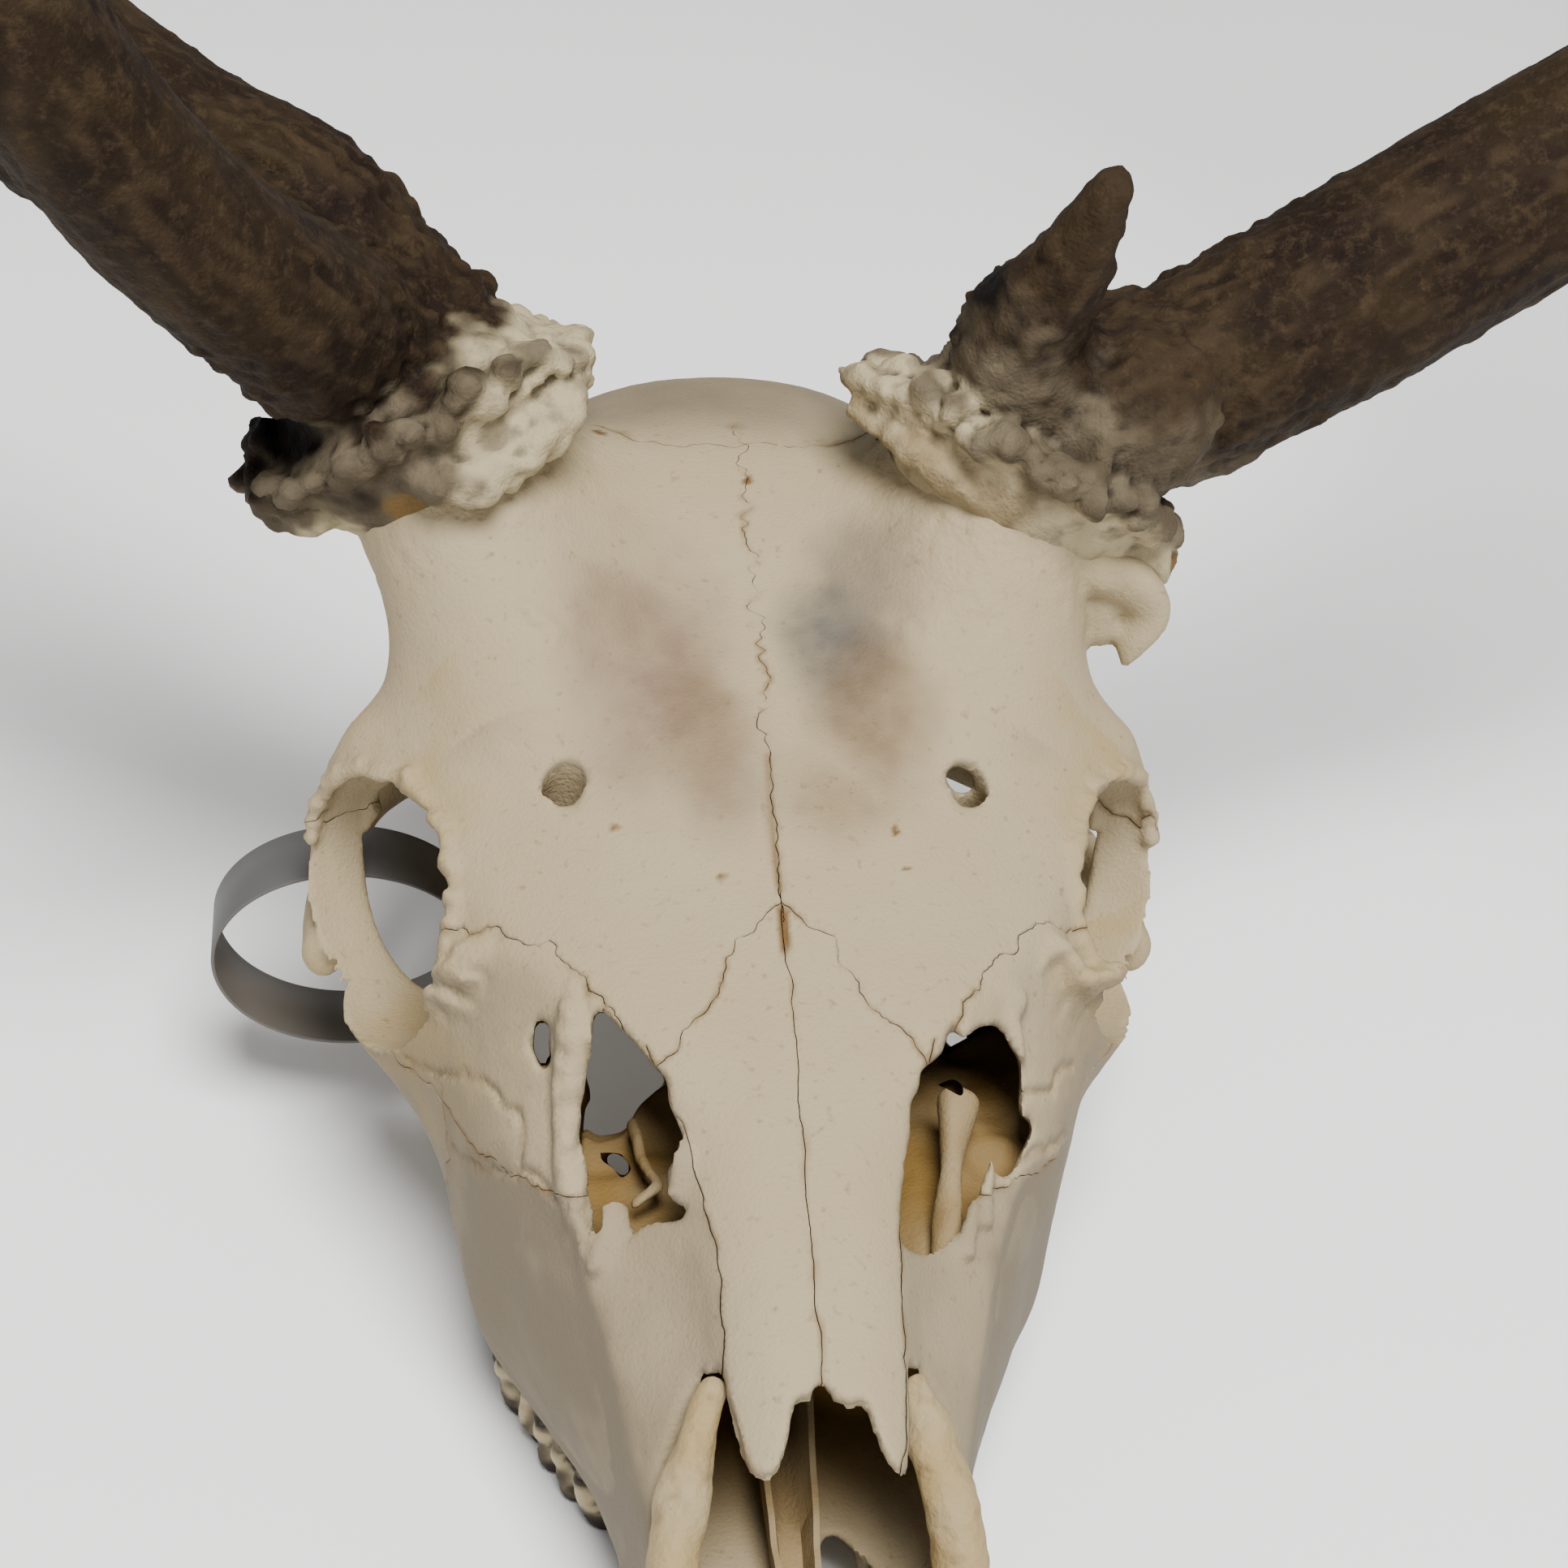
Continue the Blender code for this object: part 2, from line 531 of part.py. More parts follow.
def name_bones(head, parts):
    """Copies each sawn piece out of the head under its bone's name."""
    wanted = {"cranium": CRANIUM_POINT}
    for bone, (x, y, z) in BONES.items():
        wanted[bone + "_left"] = (x, y, z)
        wanted[bone + "_right"] = (-x, y, z)
    for name, seed in wanted.items():
        obj = bpy.data.objects.new(name, head.data.copy())
        parts.objects.link(obj)
        keep_island(obj, seed)
    bpy.data.objects.remove(head)


def premaxillae(parts):
    """The two slender front bones, each a long side blade and a short inner prong, which meet in front."""
    for s, side in ((1, "left"), (-1, "right")):
        lumps = collection("lumps")
        blade = curve_through([(5, 4.2, 9), (11, 10, 11.5), (16.5, 22, 14), (18.6, 35, 20),
                               (18.4, 46.5, 32.5),
                               (15.6, 57.5, 43.5), (13.2, 63.6, 49.4)], 1)
        radii = [(4, 3), (5.4, 3.3), (3.6, 4), (2.6, 4.1), (2.2, 3.9), (1.7, 3.2), (1.1, 1.2)]
        path = [(s * x, y, z) for x, y, z in blade]
        main_piece = tube("premaxilla_" + side, path, radii, parts, sides=8, flat=(0, -0.5, 0.8))
        prong = [(4.6, 4, 10), (4, 16, 10.5), (3.6, 30, 12), (3.3, 42.6, 13.5)]
        path = [(s * x, y, z) for x, y, z in prong]
        tube("prong", path, [(3.5, 2.6), (2.6, 2.2), (2, 1.8), (1, 1)], lumps, sides=6)
        combine(main_piece, lumps, "UNION")
        keep_island(main_piece)


def vomer(parts):
    """The trough of thin bone that stands on the nose floor at the midline."""
    rows = []
    for y in np.linspace(50, 119, 9):
        low = along(NOSE_LINES["floor"], y)[1] + 0.5
        high = low + along(((50, 4), (70, 9), (100, 22), (119, 28)), y)[0]
        flare = along(((50, 1.5), (70, 2.6), (119, 3.5)), y)[0]
        rows.append([(-flare, y, high), (-flare - 1.1, y, high), (-1.6, y, low), (1.6, y, low),
                     (flare + 1.1, y, high), (flare, y, high), (0, y, low + 2.2)])
    loft("vomer", rows, parts)


def beam_path(side):
    """The middle line of an antler from its burr to its top, in 30 equal steps."""
    start, bends = (BURR_LEFT, BEAM_LEFT) if side > 0 else (BURR_RIGHT, BEAM_RIGHT)
    axis = unit(PEDICLE_AXIS) * np.array([1 if side > 0 else -1, 1, 1])
    start = np.array(start, float)
    dense = curve_through([start - axis * 2.4, start + axis * 7] + [np.array(b, float) for b in bends], 12)
    lengths = np.concatenate([[0], np.cumsum([np.linalg.norm(b - a) for a, b in zip(dense, dense[1:])])])
    spaced = np.linspace(0, lengths[-1], TOP_STEP + 1)
    return np.array([[np.interp(t, lengths, [p[k] for p in dense]) for k in range(3)] for t in spaced])


def antler_nodes(side, word, parts):
    """One antler: burr with lower beam, brow tine, middle tine, upper beam and palm."""
    path = beam_path(side)
    fork_way = unit(path[FORK_STEP + 1] - path[FORK_STEP - 1])
    palm_way = unit(path[PALM_STEP + 1] - path[PALM_STEP - 1])
    step = np.linalg.norm(path[1] - path[0])
    axis = unit(PEDICLE_AXIS) * np.array([side, 1, 1])
    rng = random.Random(7 if side > 0 else 11)

    burr = np.array(BURR_LEFT if side > 0 else BURR_RIGHT, float)
    points = [burr + axis * rise for rise in BURR_RISES] + list(path[2:FORK_STEP + 1])
    radii = list(BURR_RADII)
    radii += [along(BEAM_RADIUS, (i + 2) * step)[0] for i in range(FORK_STEP - 1)]
    sides = 18
    knobs = [[1 + rng.uniform(-0.09, 0.07) for k in range(sides)] for i in range(4)]

    def burr_shape(i, angle):
        return knobs[i][int(round(angle / (2 * math.pi) * sides)) % sides] if i < 4 else 1.0

    tube("antler_%s_lower_beam" % word, points, radii, parts, sides=sides, shape=burr_shape, last=fork_way)
    upper_points = [path[FORK_STEP] + fork_way * GAP] + list(path[FORK_STEP + 1:PALM_STEP + 1])
    upper_radii = []
    for i in range(len(upper_points)):
        widen = max(0, i - 3.5) / 3.5
        upper_radii.append((13 - 3.5 * widen, 13 + 9 * widen))
    wide = np.array([0.05 * side, -1.0, 0.1])
    tube("antler_%s_upper_beam" % word, upper_points, upper_radii, parts, sides=14, flat=wide,
         first=fork_way,
         last=palm_way)

    palm_points = [path[PALM_STEP] + palm_way * GAP] + list(path[PALM_STEP + 2:TOP_STEP - 1:2])
    palm_points += list(path[TOP_STEP - 1:])
    palm_radii = []
    for i in range(len(palm_points)):
        t = i / (len(palm_points) - 1)
        palm_radii.append(tuple(along(PALM_RADII, t)))
    palm = tube("antler_%s_palm" % word, palm_points, palm_radii, parts, sides=14, flat=wide, first=palm_way)
    lumps = collection("lumps")
    for share, reach, lift in PALM_POINTS:
        i = int(share * (len(palm_points) - 1))
        half = palm_radii[i][1]
        root = np.array(palm_points[i]) + np.array([0, half - 12, 0])
        way = unit((-0.05 * side, 1, lift))
        length = reach + 12
        tube("point", [root + way * length * k for k in (0, 0.5, 1)], [(4.5, 8), (3.8, 5.8), (1, 1.2)],
             lumps,
             sides=6, flat=(0, 0, 1))
    root = np.array(palm_points[-2]) + np.array([0, -18, -14])
    tube("point", [root + unit((0, -0.45, 1)) * k for k in (0, 18, 34)], [(4, 8), (3.2, 5), (1, 1.2)], lumps,
         sides=6, flat=(0, 1, 0))
    combine(palm, lumps, "UNION")
    keep_island(palm)

    fork = path[FORK_STEP - 1]
    trez = curve_through([fork + (2 * side, -6, 4), fork + (6 * side, -32, 18), fork + (9 * side, -62, 44),
                          fork + (6 * side, -82, 80)], 3)
    trez_radii = [10.5 - 8 * (i / (len(trez) - 1)) ** 1.3 for i in range(len(trez))]
    if side > 0:
        brow = curve_through([burr + (2, -2, 10), burr + (-4, -8, 24), burr + (-1, -13, 36),
                              burr + (3, -17, 51)], 3)
        taper = ((0, 11.5), (5, 6.4), (8, 3.6), (9, 1.8))
        brow_radii = [along(taper, i)[0] for i in range(len(brow))]
    else:
        brow = curve_through([burr + np.array(step_out) for step_out in BROW_TINE_RIGHT], 2)
        taper = ((0, 12), (2.7, 9.6), (6, 8.4), (9.3, 6), (12, 1.6))
        brow_radii = [along(taper, i)[0] for i in range(len(brow))]
    for name, tine_points, tine_radii in (("brow_tine", brow, brow_radii),
                                          ("middle_tine", trez, trez_radii)):
        tine = tube("antler_%s_%s" % (word, name), tine_points, tine_radii, parts, sides=10)
        cutters = collection("cutters_now")
        wider = [r * (1.09 if i < 4 else 1.015) + 0.35 for i, r in enumerate(radii)]
        tube("wider_beam", [burr - axis * SEAT_DEPTH] + points[1:], wider, cutters, sides=18)
        if name == "middle_tine":
            upper = [path[FORK_STEP] - fork_way * 2] + list(path[FORK_STEP + 1:FORK_STEP + 5])
            tube("wider_upper", upper, [14.3] * 5, cutters, sides=18)
        combine(tine, cutters, "DIFFERENCE")
        keep_island(tine, tuple(tine_points[-1]))


def tag_band(parts):
    """A closed loop of plain stiff tape round the right cheek arch."""
    rings = []
    x, y, z = BAND_CENTRE
    half = BAND_WIDTH / 2
    for k in range(BAND_STEPS):
        angle = 2 * math.pi * k / BAND_STEPS
        c, s = math.cos(angle), math.sin(angle)
        ring = []
        for width, grow in ((-half, 0), (half, 0), (half, BAND_THICK), (-half, BAND_THICK)):
            ring.append((x + (BAND_RADII[0] + grow) * c, y + width, z + (BAND_RADII[1] + grow) * s))
        rings.append(ring)
    bm = bmesh.new()
    loops = [[bm.verts.new(Vector(p) * MM) for p in ring] for ring in rings]
    for k in range(len(loops)):
        a, b = loops[k], loops[(k + 1) % len(loops)]
        for i in range(4):
            j = (i + 1) % 4
            bm.faces.new((a[i], a[j], b[j], b[i]))
    add_object("tag_band", bm, parts)


def dress(parts):
    """Gives each node its own material in the colour of its bone, antler or tape."""
    for obj in parts.objects:
        kind = {"antler": "antler", "tag": "tape"}.get(obj.name.split("_")[0], "bone")
        colour, roughness = FINISHES[kind]
        material = bpy.data.materials.new(obj.name + "_" + kind)
        material.use_nodes = True
        shader = material.node_tree.nodes["Principled BSDF"]
        shader.inputs["Base Color"].default_value = (*colour, 1)
        shader.inputs["Roughness"].default_value = roughness
        shader.inputs["Metallic"].default_value = 0.0
        obj.data.materials.clear()
        obj.data.materials.append(material)


def stand_on_origin(parts):
    """Moves the whole skull so that the middle of its lowest level is the origin."""
    corners = np.array([v.co for obj in parts.objects for v in obj.data.vertices])
    low, high = corners.min(axis=0), corners.max(axis=0)
    shift = Vector((-(low[0] + high[0]) / 2, -(low[1] + high[1]) / 2, -low[2]))
    for obj in parts.objects:
        obj.data.transform(Matrix.Translation(shift))
    return shift


def main():
    """Builds the collections and every node."""
    for obj in list(bpy.data.objects):
        bpy.data.objects.remove(obj)
    parts = collection(PART_NAME)
    lumps = collection("lumps")
    head = face_hull(parts)
    brow_roof(lumps)
    braincase(lumps)
    head_base(lumps)
    pedicles(lumps)
    combine(head, lumps, "UNION")
    keep_island(head)
    carve_head(head)
    feet = collection("feet")
    neck_points(feet)
    teeth(feet)
    combine(head, feet, "UNION")
    keep_island(head)
    part_head(head)
    name_bones(head, parts)
    premaxillae(parts)
    vomer(parts)
    antler_nodes(1, "left", parts)
    antler_nodes(-1, "right", parts)
    tag_band(parts)
    dress(parts)
    return stand_on_origin(parts)


SHIFT = main()
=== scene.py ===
"""A fallow deer skull with its antlers, cleaned and dry, on a pale studio floor.

The bone is built as one head, which is carved, weathered and then sawn along its seams into
the bones that have names. Working sizes are in millimetres from the front tip of the jaw
bone: x to the animal's left, y back, z up from the level of the teeth.
"""

import enum
import json
import logging
import math
from dataclasses import dataclass, field
from typing import Sequence

import bmesh
import bpy
import numpy as np
from mathutils import Matrix, Vector
from mathutils.bvhtree import BVHTree

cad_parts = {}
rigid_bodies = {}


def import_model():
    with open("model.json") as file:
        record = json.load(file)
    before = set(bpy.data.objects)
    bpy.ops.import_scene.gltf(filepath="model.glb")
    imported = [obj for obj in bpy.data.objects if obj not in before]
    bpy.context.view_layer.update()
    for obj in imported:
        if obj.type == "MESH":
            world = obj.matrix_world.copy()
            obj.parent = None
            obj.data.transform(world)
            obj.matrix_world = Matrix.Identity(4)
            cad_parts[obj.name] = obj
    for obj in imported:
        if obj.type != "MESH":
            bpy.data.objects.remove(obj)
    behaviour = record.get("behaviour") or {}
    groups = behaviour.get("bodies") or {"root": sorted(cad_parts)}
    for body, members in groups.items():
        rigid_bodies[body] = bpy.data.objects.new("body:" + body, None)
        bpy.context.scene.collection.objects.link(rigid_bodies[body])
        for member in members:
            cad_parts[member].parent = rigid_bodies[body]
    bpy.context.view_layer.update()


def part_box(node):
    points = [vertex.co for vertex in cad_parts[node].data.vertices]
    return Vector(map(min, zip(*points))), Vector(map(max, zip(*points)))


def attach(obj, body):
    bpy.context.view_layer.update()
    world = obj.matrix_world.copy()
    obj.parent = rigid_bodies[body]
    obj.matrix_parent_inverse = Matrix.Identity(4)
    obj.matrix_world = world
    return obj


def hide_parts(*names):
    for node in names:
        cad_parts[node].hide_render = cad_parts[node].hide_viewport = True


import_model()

LOG = logging.getLogger("skull")
MM = 0.001
# Whole numbers that mix a place and a seed to random bits, and the bits that are kept.
HASH, HASH_SEED, HASH_MIX = np.array([374761393, 668265263, 2147483647]), 1274126177, 1103515245
LOW_BITS, HALF_BITS = 0xFFFFFFFF, 0xFFFF
ROOT = "root"
LENS_MM = 70.0
SENSOR_MM = 36.0

Line = Sequence[Sequence[float]]
Array = np.ndarray
Object = bpy.types.Object
Collection = bpy.types.Collection


class Side(enum.Enum):
    """A side of the animal, with the sign of its x."""

    LEFT = 1
    RIGHT = -1

    @property
    def word(self) -> str:
        """The side's name in lower case."""
        return self.name.lower()


# First and last ring of each lofted body, by distance back, and how many there are.
FACE_SPAN, NOSE_SPAN, BROW_SPAN, CASE_SPAN = (44, 165, 61), (36, 152, 47), (152, 203, 26), (158, 248, 46)
SHARP = math.radians(55)
FAR = 1e9
# Lines along the face, as on a hull: distance back, half width, height.
FACE_LINES: dict[str, Line] = {
    "midline": ((44, 0, 50.2), (60.7, 0, 57.4), (92.7, 0, 71.2), (121.9, 0, 81.9), (155.3, 0, 95),
                (172, 0, 101.5)),
    "crown": ((44, 4, 50.4), (60, 5.5, 57.2), (90, 6.5, 70), (110, 11, 77.2), (125, 15, 82),
              (150, 18, 92), (172, 20, 100.3)),
    "ridge": ((44, 7.8, 49.5), (60, 10.4, 54.5), (75, 11.4, 60.5), (90, 13.4, 66.8), (100, 17, 72.5),
              (110, 22.5, 76), (125, 29, 79.3), (140, 35, 83), (155, 39, 88.5), (172, 40, 94.5)),
    "shoulder": ((44, 9.5, 46), (60, 12.5, 51), (75, 15.5, 53.5), (90, 22, 57.5), (100, 25.5, 64),
                 (110, 29.5, 70.5), (120, 36, 73), (127, 40, 74.3), (140, 45, 77.6), (150, 49, 79.3),
                 (162, 55, 81)),
    "cheek": ((44, 12, 42), (60, 16.5, 45), (75, 23, 46.5), (90, 30, 50), (105, 37.5, 54),
              (120, 43.5, 58.5), (135, 54, 62), (150, 59, 64), (162, 60.5, 66)),
    "wall": ((44, 17, 36), (60, 20.7, 35), (75, 26.3, 34), (90, 32.8, 34), (105, 38.6, 33),
             (115, 42.5, 40), (122, 45.3, 47), (135, 55.5, 49), (143, 59.6, 49),
             (155, 61, 51), (166, 59.5, 54)),
    "lower": ((44, 18.8, 25), (60, 21, 24), (75, 25, 22), (90, 31.5, 21), (105, 38, 21), (115, 40, 23),
              (122, 41, 27), (135, 44, 33), (143, 47, 37), (155, 48, 42), (166, 48, 46)),
    "tooth_edge": ((44, 18.5, 15), (60, 20, 14), (75, 19.5, 12.5), (90, 25, 12), (105, 31.8, 12),
                   (115, 34.5, 12), (135, 35.5, 12), (147, 34, 13), (155, 31, 24), (166, 24, 32)),
    "palate_edge": ((44, 11, 11.5), (60, 12, 12), (75, 12, 11.5), (90, 17, 11.5), (105, 22, 11.5),
                    (120, 24, 11.5), (135, 24, 11.5), (147, 22, 12), (155, 18, 24), (166, 15, 32)),
    "palate": ((44, 0, 12), (60, 0, 13), (75, 0, 14.5), (100, 0, 16), (135, 0, 17), (147, 0, 20),
               (155, 0, 26), (166, 0, 32)),
}
# The nose passage inside the face, by the same kind of lines.
NOSE_LINES: dict[str, Line] = {
    "top": ((36, 0, 46), (60, 0, 56), (92, 0, 69.2), (118, 0, 75), (135, 0, 76), (152, 0, 60)),
    "ridge": ((36, 7.4, 44.6), (60, 9.2, 53.2), (75, 9.8, 58.6), (90, 11.6, 64.4), (105, 18.6, 71),
              (118, 23.5, 73.5), (135, 20, 70), (152, 14, 56)),
    "cheek": ((36, 9, 40), (60, 12.6, 47), (75, 18, 49), (90, 24.5, 53.5), (105, 29.5, 62), (118, 29, 64),
              (135, 20, 60), (152, 15, 50)),
    "wall": ((36, 14, 30), (60, 18, 35), (75, 23.8, 36), (90, 30, 38), (105, 34.5, 42), (118, 32, 45),
             (135, 20, 46), (152, 16, 42)),
    "low": ((36, 15, 19), (60, 17.5, 20), (75, 21, 22), (90, 26.5, 24), (105, 30, 26), (118, 28, 27),
            (135, 18, 27), (152, 15, 28)),
    "floor_edge": ((36, 9, 16.5), (60, 10, 17.5), (75, 12, 18.5), (90, 15, 19.5), (105, 18, 20),
                   (118, 18, 20.5), (135, 14, 21.5), (152, 12, 24)),
    "floor": ((36, 0, 16.5), (60, 0, 17.5), (75, 0, 18.5), (100, 0, 20), (135, 0, 21.5), (152, 0, 24)),
}
# The brow behind the eyes: distance back, half width and height of its edge and of its crest.
BROW_EDGE: Line = ((152, 49, 78), (162, 55, 81), (168, 52, 83), (175, 48.5, 87), (185, 50, 93),
                   (195, 50, 98), (203, 45, 100))
BROW_CREST: Line = ((152, 36, 90), (165, 37, 94.5), (175, 38, 100.5), (185, 40, 107.5), (195, 40, 109),
                    (203, 36, 106))
BROW_MIDLINE: Line = ((152, 93.7), (172, 101.5), (193.6, 109.2), (205, 110))
# The braincase: distance back, half width, top, bottom.
BRAINCASE: Line = ((158, 18, 86, 42), (170, 26, 96, 34), (180, 32, 101, 29), (195, 36.5, 108.5, 27),
                   (210, 38.5, 109.3, 27), (225, 38, 103, 27), (236, 36.5, 90, 27.5), (243, 32, 76, 29),
                   (248, 22, 62, 32))
TOOTH_ROW: Line = ((76, 15.6), (90, 22.4), (105, 28.4), (120, 30.6), (135, 30.8), (148, 29))
TOOTH_LENGTHS = (10.5, 10.5, 10, 13, 14.5, 16)
TOOTH_WIDTHS = (7.5, 9, 10, 13, 14, 13)
TOOTH_GROWTH = ((19, 0.8), (13, 0.95), (10, 1.03), (6, 1.03), (2.5, 0.98), (0.8, 0.9), (0, 0.7))

BURRS = {Side.LEFT: (38.5, 184.0, 112.5), Side.RIGHT: (-46.0, 187.0, 116.0)}
PEDICLE_AXIS = (0.45, 0.35, 0.82)
PEDICLE_FOOT = (26.0, 167.0, 80.0)
SEAT_DEPTH = 2.75
STALK_TURNS, CASE_TURNS, POINT_TURNS, HOLE_TURNS = 48, 64, 32, 12
EYE_CENTRE = (51.0, 144.0, 63.0)
EYE_OUTWARD = (0.85, -0.42, 0.33)
EYE_ALONG = (0.37, 0.9, 0.17)
EYE_RADII = (38.0, 20.5, 18.0)
EYE_SHIFT = 4
BAND_CENTRE = (-56.0, 173.5, 34.6)
BAND_RADII = (19.4, 15.7)

# Where the camera stands, and the directions of the picture's right, top and back.
CAMERA_AT = (-56.10, -187.40, 325.19)
CAMERA_RIGHT = (0.9899, -0.1128, 0.0860)
CAMERA_UP = (-0.0033, 0.5882, 0.8087)
CAMERA_BACK = (-0.1418, -0.8008, 0.5818)

# Openings, each as an outline in plan at one level, through which the sight lines run.
SIGHT_LEVEL = 72.0
# The windows beside the nose, and what can be seen right through below them.
WINDOWS = {
    Side.LEFT: ((24.4, 115.6), (23.4, 111.8), (19.4, 103), (15.9, 99.1), (15.8, 96.8), (13.9, 93),
                (12.8, 87.1), (11.6, 81.3), (10.4, 77.8), (9.5, 72.9), (9.3, 68.1), (12.2, 66.7),
                (15.6, 69.7), (17.2, 67.5), (18.6, 72.7), (22.3, 81.8), (22.6, 79.9), (24.4, 80.3),
                (28.4, 88.3), (27.6, 91), (28.2, 95.9), (29, 102.1), (28.3, 103.7), (27.8, 107.7),
                (24.8, 107.2), (23, 105.7)),
    Side.RIGHT: ((-24.1, 115.3), (-23.7, 111.4), (-21.9, 108.8), (-19.7, 104.3), (-18.3, 101.5),
                 (-16.5, 97.8), (-16.6, 94.2), (-15.4, 87.6), (-15.2, 84.7), (-17.3, 82.2),
                 (-17.9, 79.1), (-17, 75.9), (-14.1, 74.8), (-16.9, 73.1), (-19.6, 72.8), (-21.6, 72),
                 (-23.2, 69.6), (-24.8, 66.7), (-27.2, 66.2), (-27.9, 68.4), (-27.7, 76.5),
                 (-27.5, 85), (-27.1, 93), (-26, 99), (-24.6, 107.5), (-24.1, 113.6))}
THROUGH = {
    Side.LEFT: (((23.4, 111.8), (19.6, 103), (26.4, 106.9), (24.9, 107.7), (23.6, 106), (23.1, 106.9)),
                ((18, 96.5), (20.1, 97.5), (20.9, 96), (20.3, 94.5), (18.3, 96.3))),
    Side.RIGHT: (((-24.1, 114.4), (-23.6, 111.6), (-21.9, 108.8), (-19.7, 104.3), (-18.3, 101.5),
                  (-16.6, 98.1), (-17, 96.9), (-19.8, 93.6), (-22.3, 88.9), (-25.4, 87.8),
                  (-27.4, 87.3), (-27, 93), (-26.2, 94.5), (-26.4, 100.2), (-25.1, 107.5)),
                 ((-25.6, 84.7), (-23.1, 84.6), (-22.1, 82), (-23.2, 80.6), (-24.3, 82.1),
                  (-25.6, 83.5)),
                 ((-32.3, 109.9), (-30.6, 109.4), (-30.6, 105.3), (-30.9, 99.6), (-31.9, 99.9),
                  (-32.9, 104.2)),
                 ((-43.6, 117.9), (-41.8, 116.6), (-39.6, 118), (-39, 115.4), (-40.8, 113.8),
                  (-43.2, 113.8), (-44.9, 115.1), (-45.8, 118.4)))}
# The knobbly hooks at the front of the eye sockets, and the low lobe below them.
HOOKS = {
    Side.LEFT: ((33.6, 119.7, 71.6), (36.7, 122.9, 73.2), (39.2, 122.8, 71.1), (41.5, 121.2, 68.9),
                (43.9, 121.6, 67.9), (46.1, 124.1, 68.6)),
    Side.RIGHT: ((-35.7, 121.5, 71.3), (-37.9, 123.9, 71.8), (-40, 123.8, 70.8), (-41.9, 123.6, 68.9),
                 (-39.2, 122, 68.4))}
HOOK_LOBE = ((36.6, 119.7, 65.0), (39.4, 120.7, 64.5), (42.0, 121.9, 64.7), (44.3, 123.4, 65.2))
# Thin plates and splinters at the windows, each with its bends and half widths.
FLAKES = (
    (((-23.5, 84.4, 52), (-22.6, 87.9, 55.2), (-22.8, 91.2, 57.7), (-23.8, 94.9, 60.3)),
     (3.4, 2.5, 1.6, 0.5)),
    (((-11.8, 91.4, 66.4), (-13.8, 89.4, 65.8), (-15.6, 87, 62.4)), (3.2, 2.6, 1.2)),
    (((22.6, 112.6, 76), (27, 112.6, 74), (32, 113, 71.2)), (2.4, 2.2, 2)),
    (((23.4, 111, 75.6), (22.8, 108, 74), (22.5, 105.3, 72.6)), (1.7, 1.3, 0.6)),
    (((28.6, 112, 72.2), (30.2, 109.5, 69.5), (31.6, 107.2, 66.4)), (2.4, 1.7, 0.5)),
    (((24.6, 88.6, 55.4), (25.2, 92, 57.2), (26.4, 95.9, 59.2)), (1.8, 1.1, 0.4)),
    (((21.5, 84, 54.5), (22.4, 87.4, 56.2), (23.2, 90.6, 57.6)), (1.7, 1.1, 0.4)))
# The slit at the front of the brow, and the gaps in the front of the palate.
SLIT = ((2.1, 137.2), (2.2, 131.5), (2.4, 127.5), (2.2, 124.6), (1.6, 121.8), (1.3, 124.6), (1.6, 130.6))
PALATE_GAPS = (((-12.0, 14.8), (-10.7, 23.8), (-9.6, 24.3), (-9.2, 20.8), (-9.5, 14.7)),
               ((-5.8, 25.3), (-4.0, 24.5), (-2.5, 22.4), (-1.0, 20.1), (0.3, 14.2), (-7.3, 14.6)))
# The strut beside the right window and the stepped edges of the cheek plates.
STRUT = ((-27, 110.9, 73.4), (-27.8, 105.7, 68), (-28.4, 100.4, 62), (-27.6, 94.2, 56.7),
         (-26.3, 87.2, 52.2))
PLATES = (((-48.2, 125.4, 52.1), (-44.9, 120.7, 53.6), (-41.2, 115.3, 57.8), (-38.1, 111.5, 60.2),
           (-36.6, 108.9, 60.2), (-35.8, 107.1, 59.6), (-34.1, 105.6, 60.7), (-33.8, 103.5, 58.9),
           (-34.1, 101.9, 56.8), (-34.3, 100.6, 55), (-35.1, 100.5, 53.2), (-37.1, 103.3, 51.8),
           (-38.8, 106.2, 49.8), (-40.6, 110, 48.2), (-42.1, 113.8, 46.6)),
          ((-34.3, 100.6, 55), (-32.5, 98.9, 55.8), (-29.5, 94.6, 55.1)),
          ((30.9, 104.7, 63.4), (36.6, 108.7, 60), (37.1, 110.6, 61), (41, 115.6, 58.8)),
          ((29.1, 96.7, 57.4), (33.4, 100.4, 56.2), (36.4, 103.6, 54.6), (39.3, 108.2, 52.6)))
# Half width, by distance back, beyond which the cheek is hollow and gets painted shade.
CHEEK: Line = ((50, 18), (54.9, 19), (70.4, 22), (85.5, 25.8), (94.3, 29.2), (101.7, 34.1), (112, 42))
# A scar on the brow, the crack and the gap in the midline, dirt specks, and where the bone is
# amber or pitted; the last three with a radius after each place.
SCAR = ((-32.7, 160.1, 102.8), (-30.5, 158.4, 101), (-27.8, 156.9, 99.4), (-28.9, 155.4, 98.4))
CRACK = ((-0.3, 142.9, 90.1), (-0.5, 133.4, 86.3), (-0.4, 127.5, 84), (-0.2, 123.5, 82.4))
GAP = ((-0.3, 123.1, 82.3), (-0.2, 120.6, 81.2), (-0.1, 117.6, 80.1), (-0.2, 113.7, 78.6))
SPECKS = ((-20.7, 193.7, 110.2, 1.1), (0.2, 185.7, 107.3, 0.9), (-21.2, 133.9, 84.5, 0.8),
          (-7.7, 125.6, 82.8, 0.7), (16.2, 132.6, 84.9, 0.7), (17.2, 127.4, 82.6, 0.6))
AMBER_STRIP = ((14, 185, 118.5, 4), (17, 182.5, 118.3, 4), (20.5, 180, 117.5, 4), (24, 177, 116, 3.6),
               (28, 174.4, 114, 3.4), (33, 172, 111.5, 3))
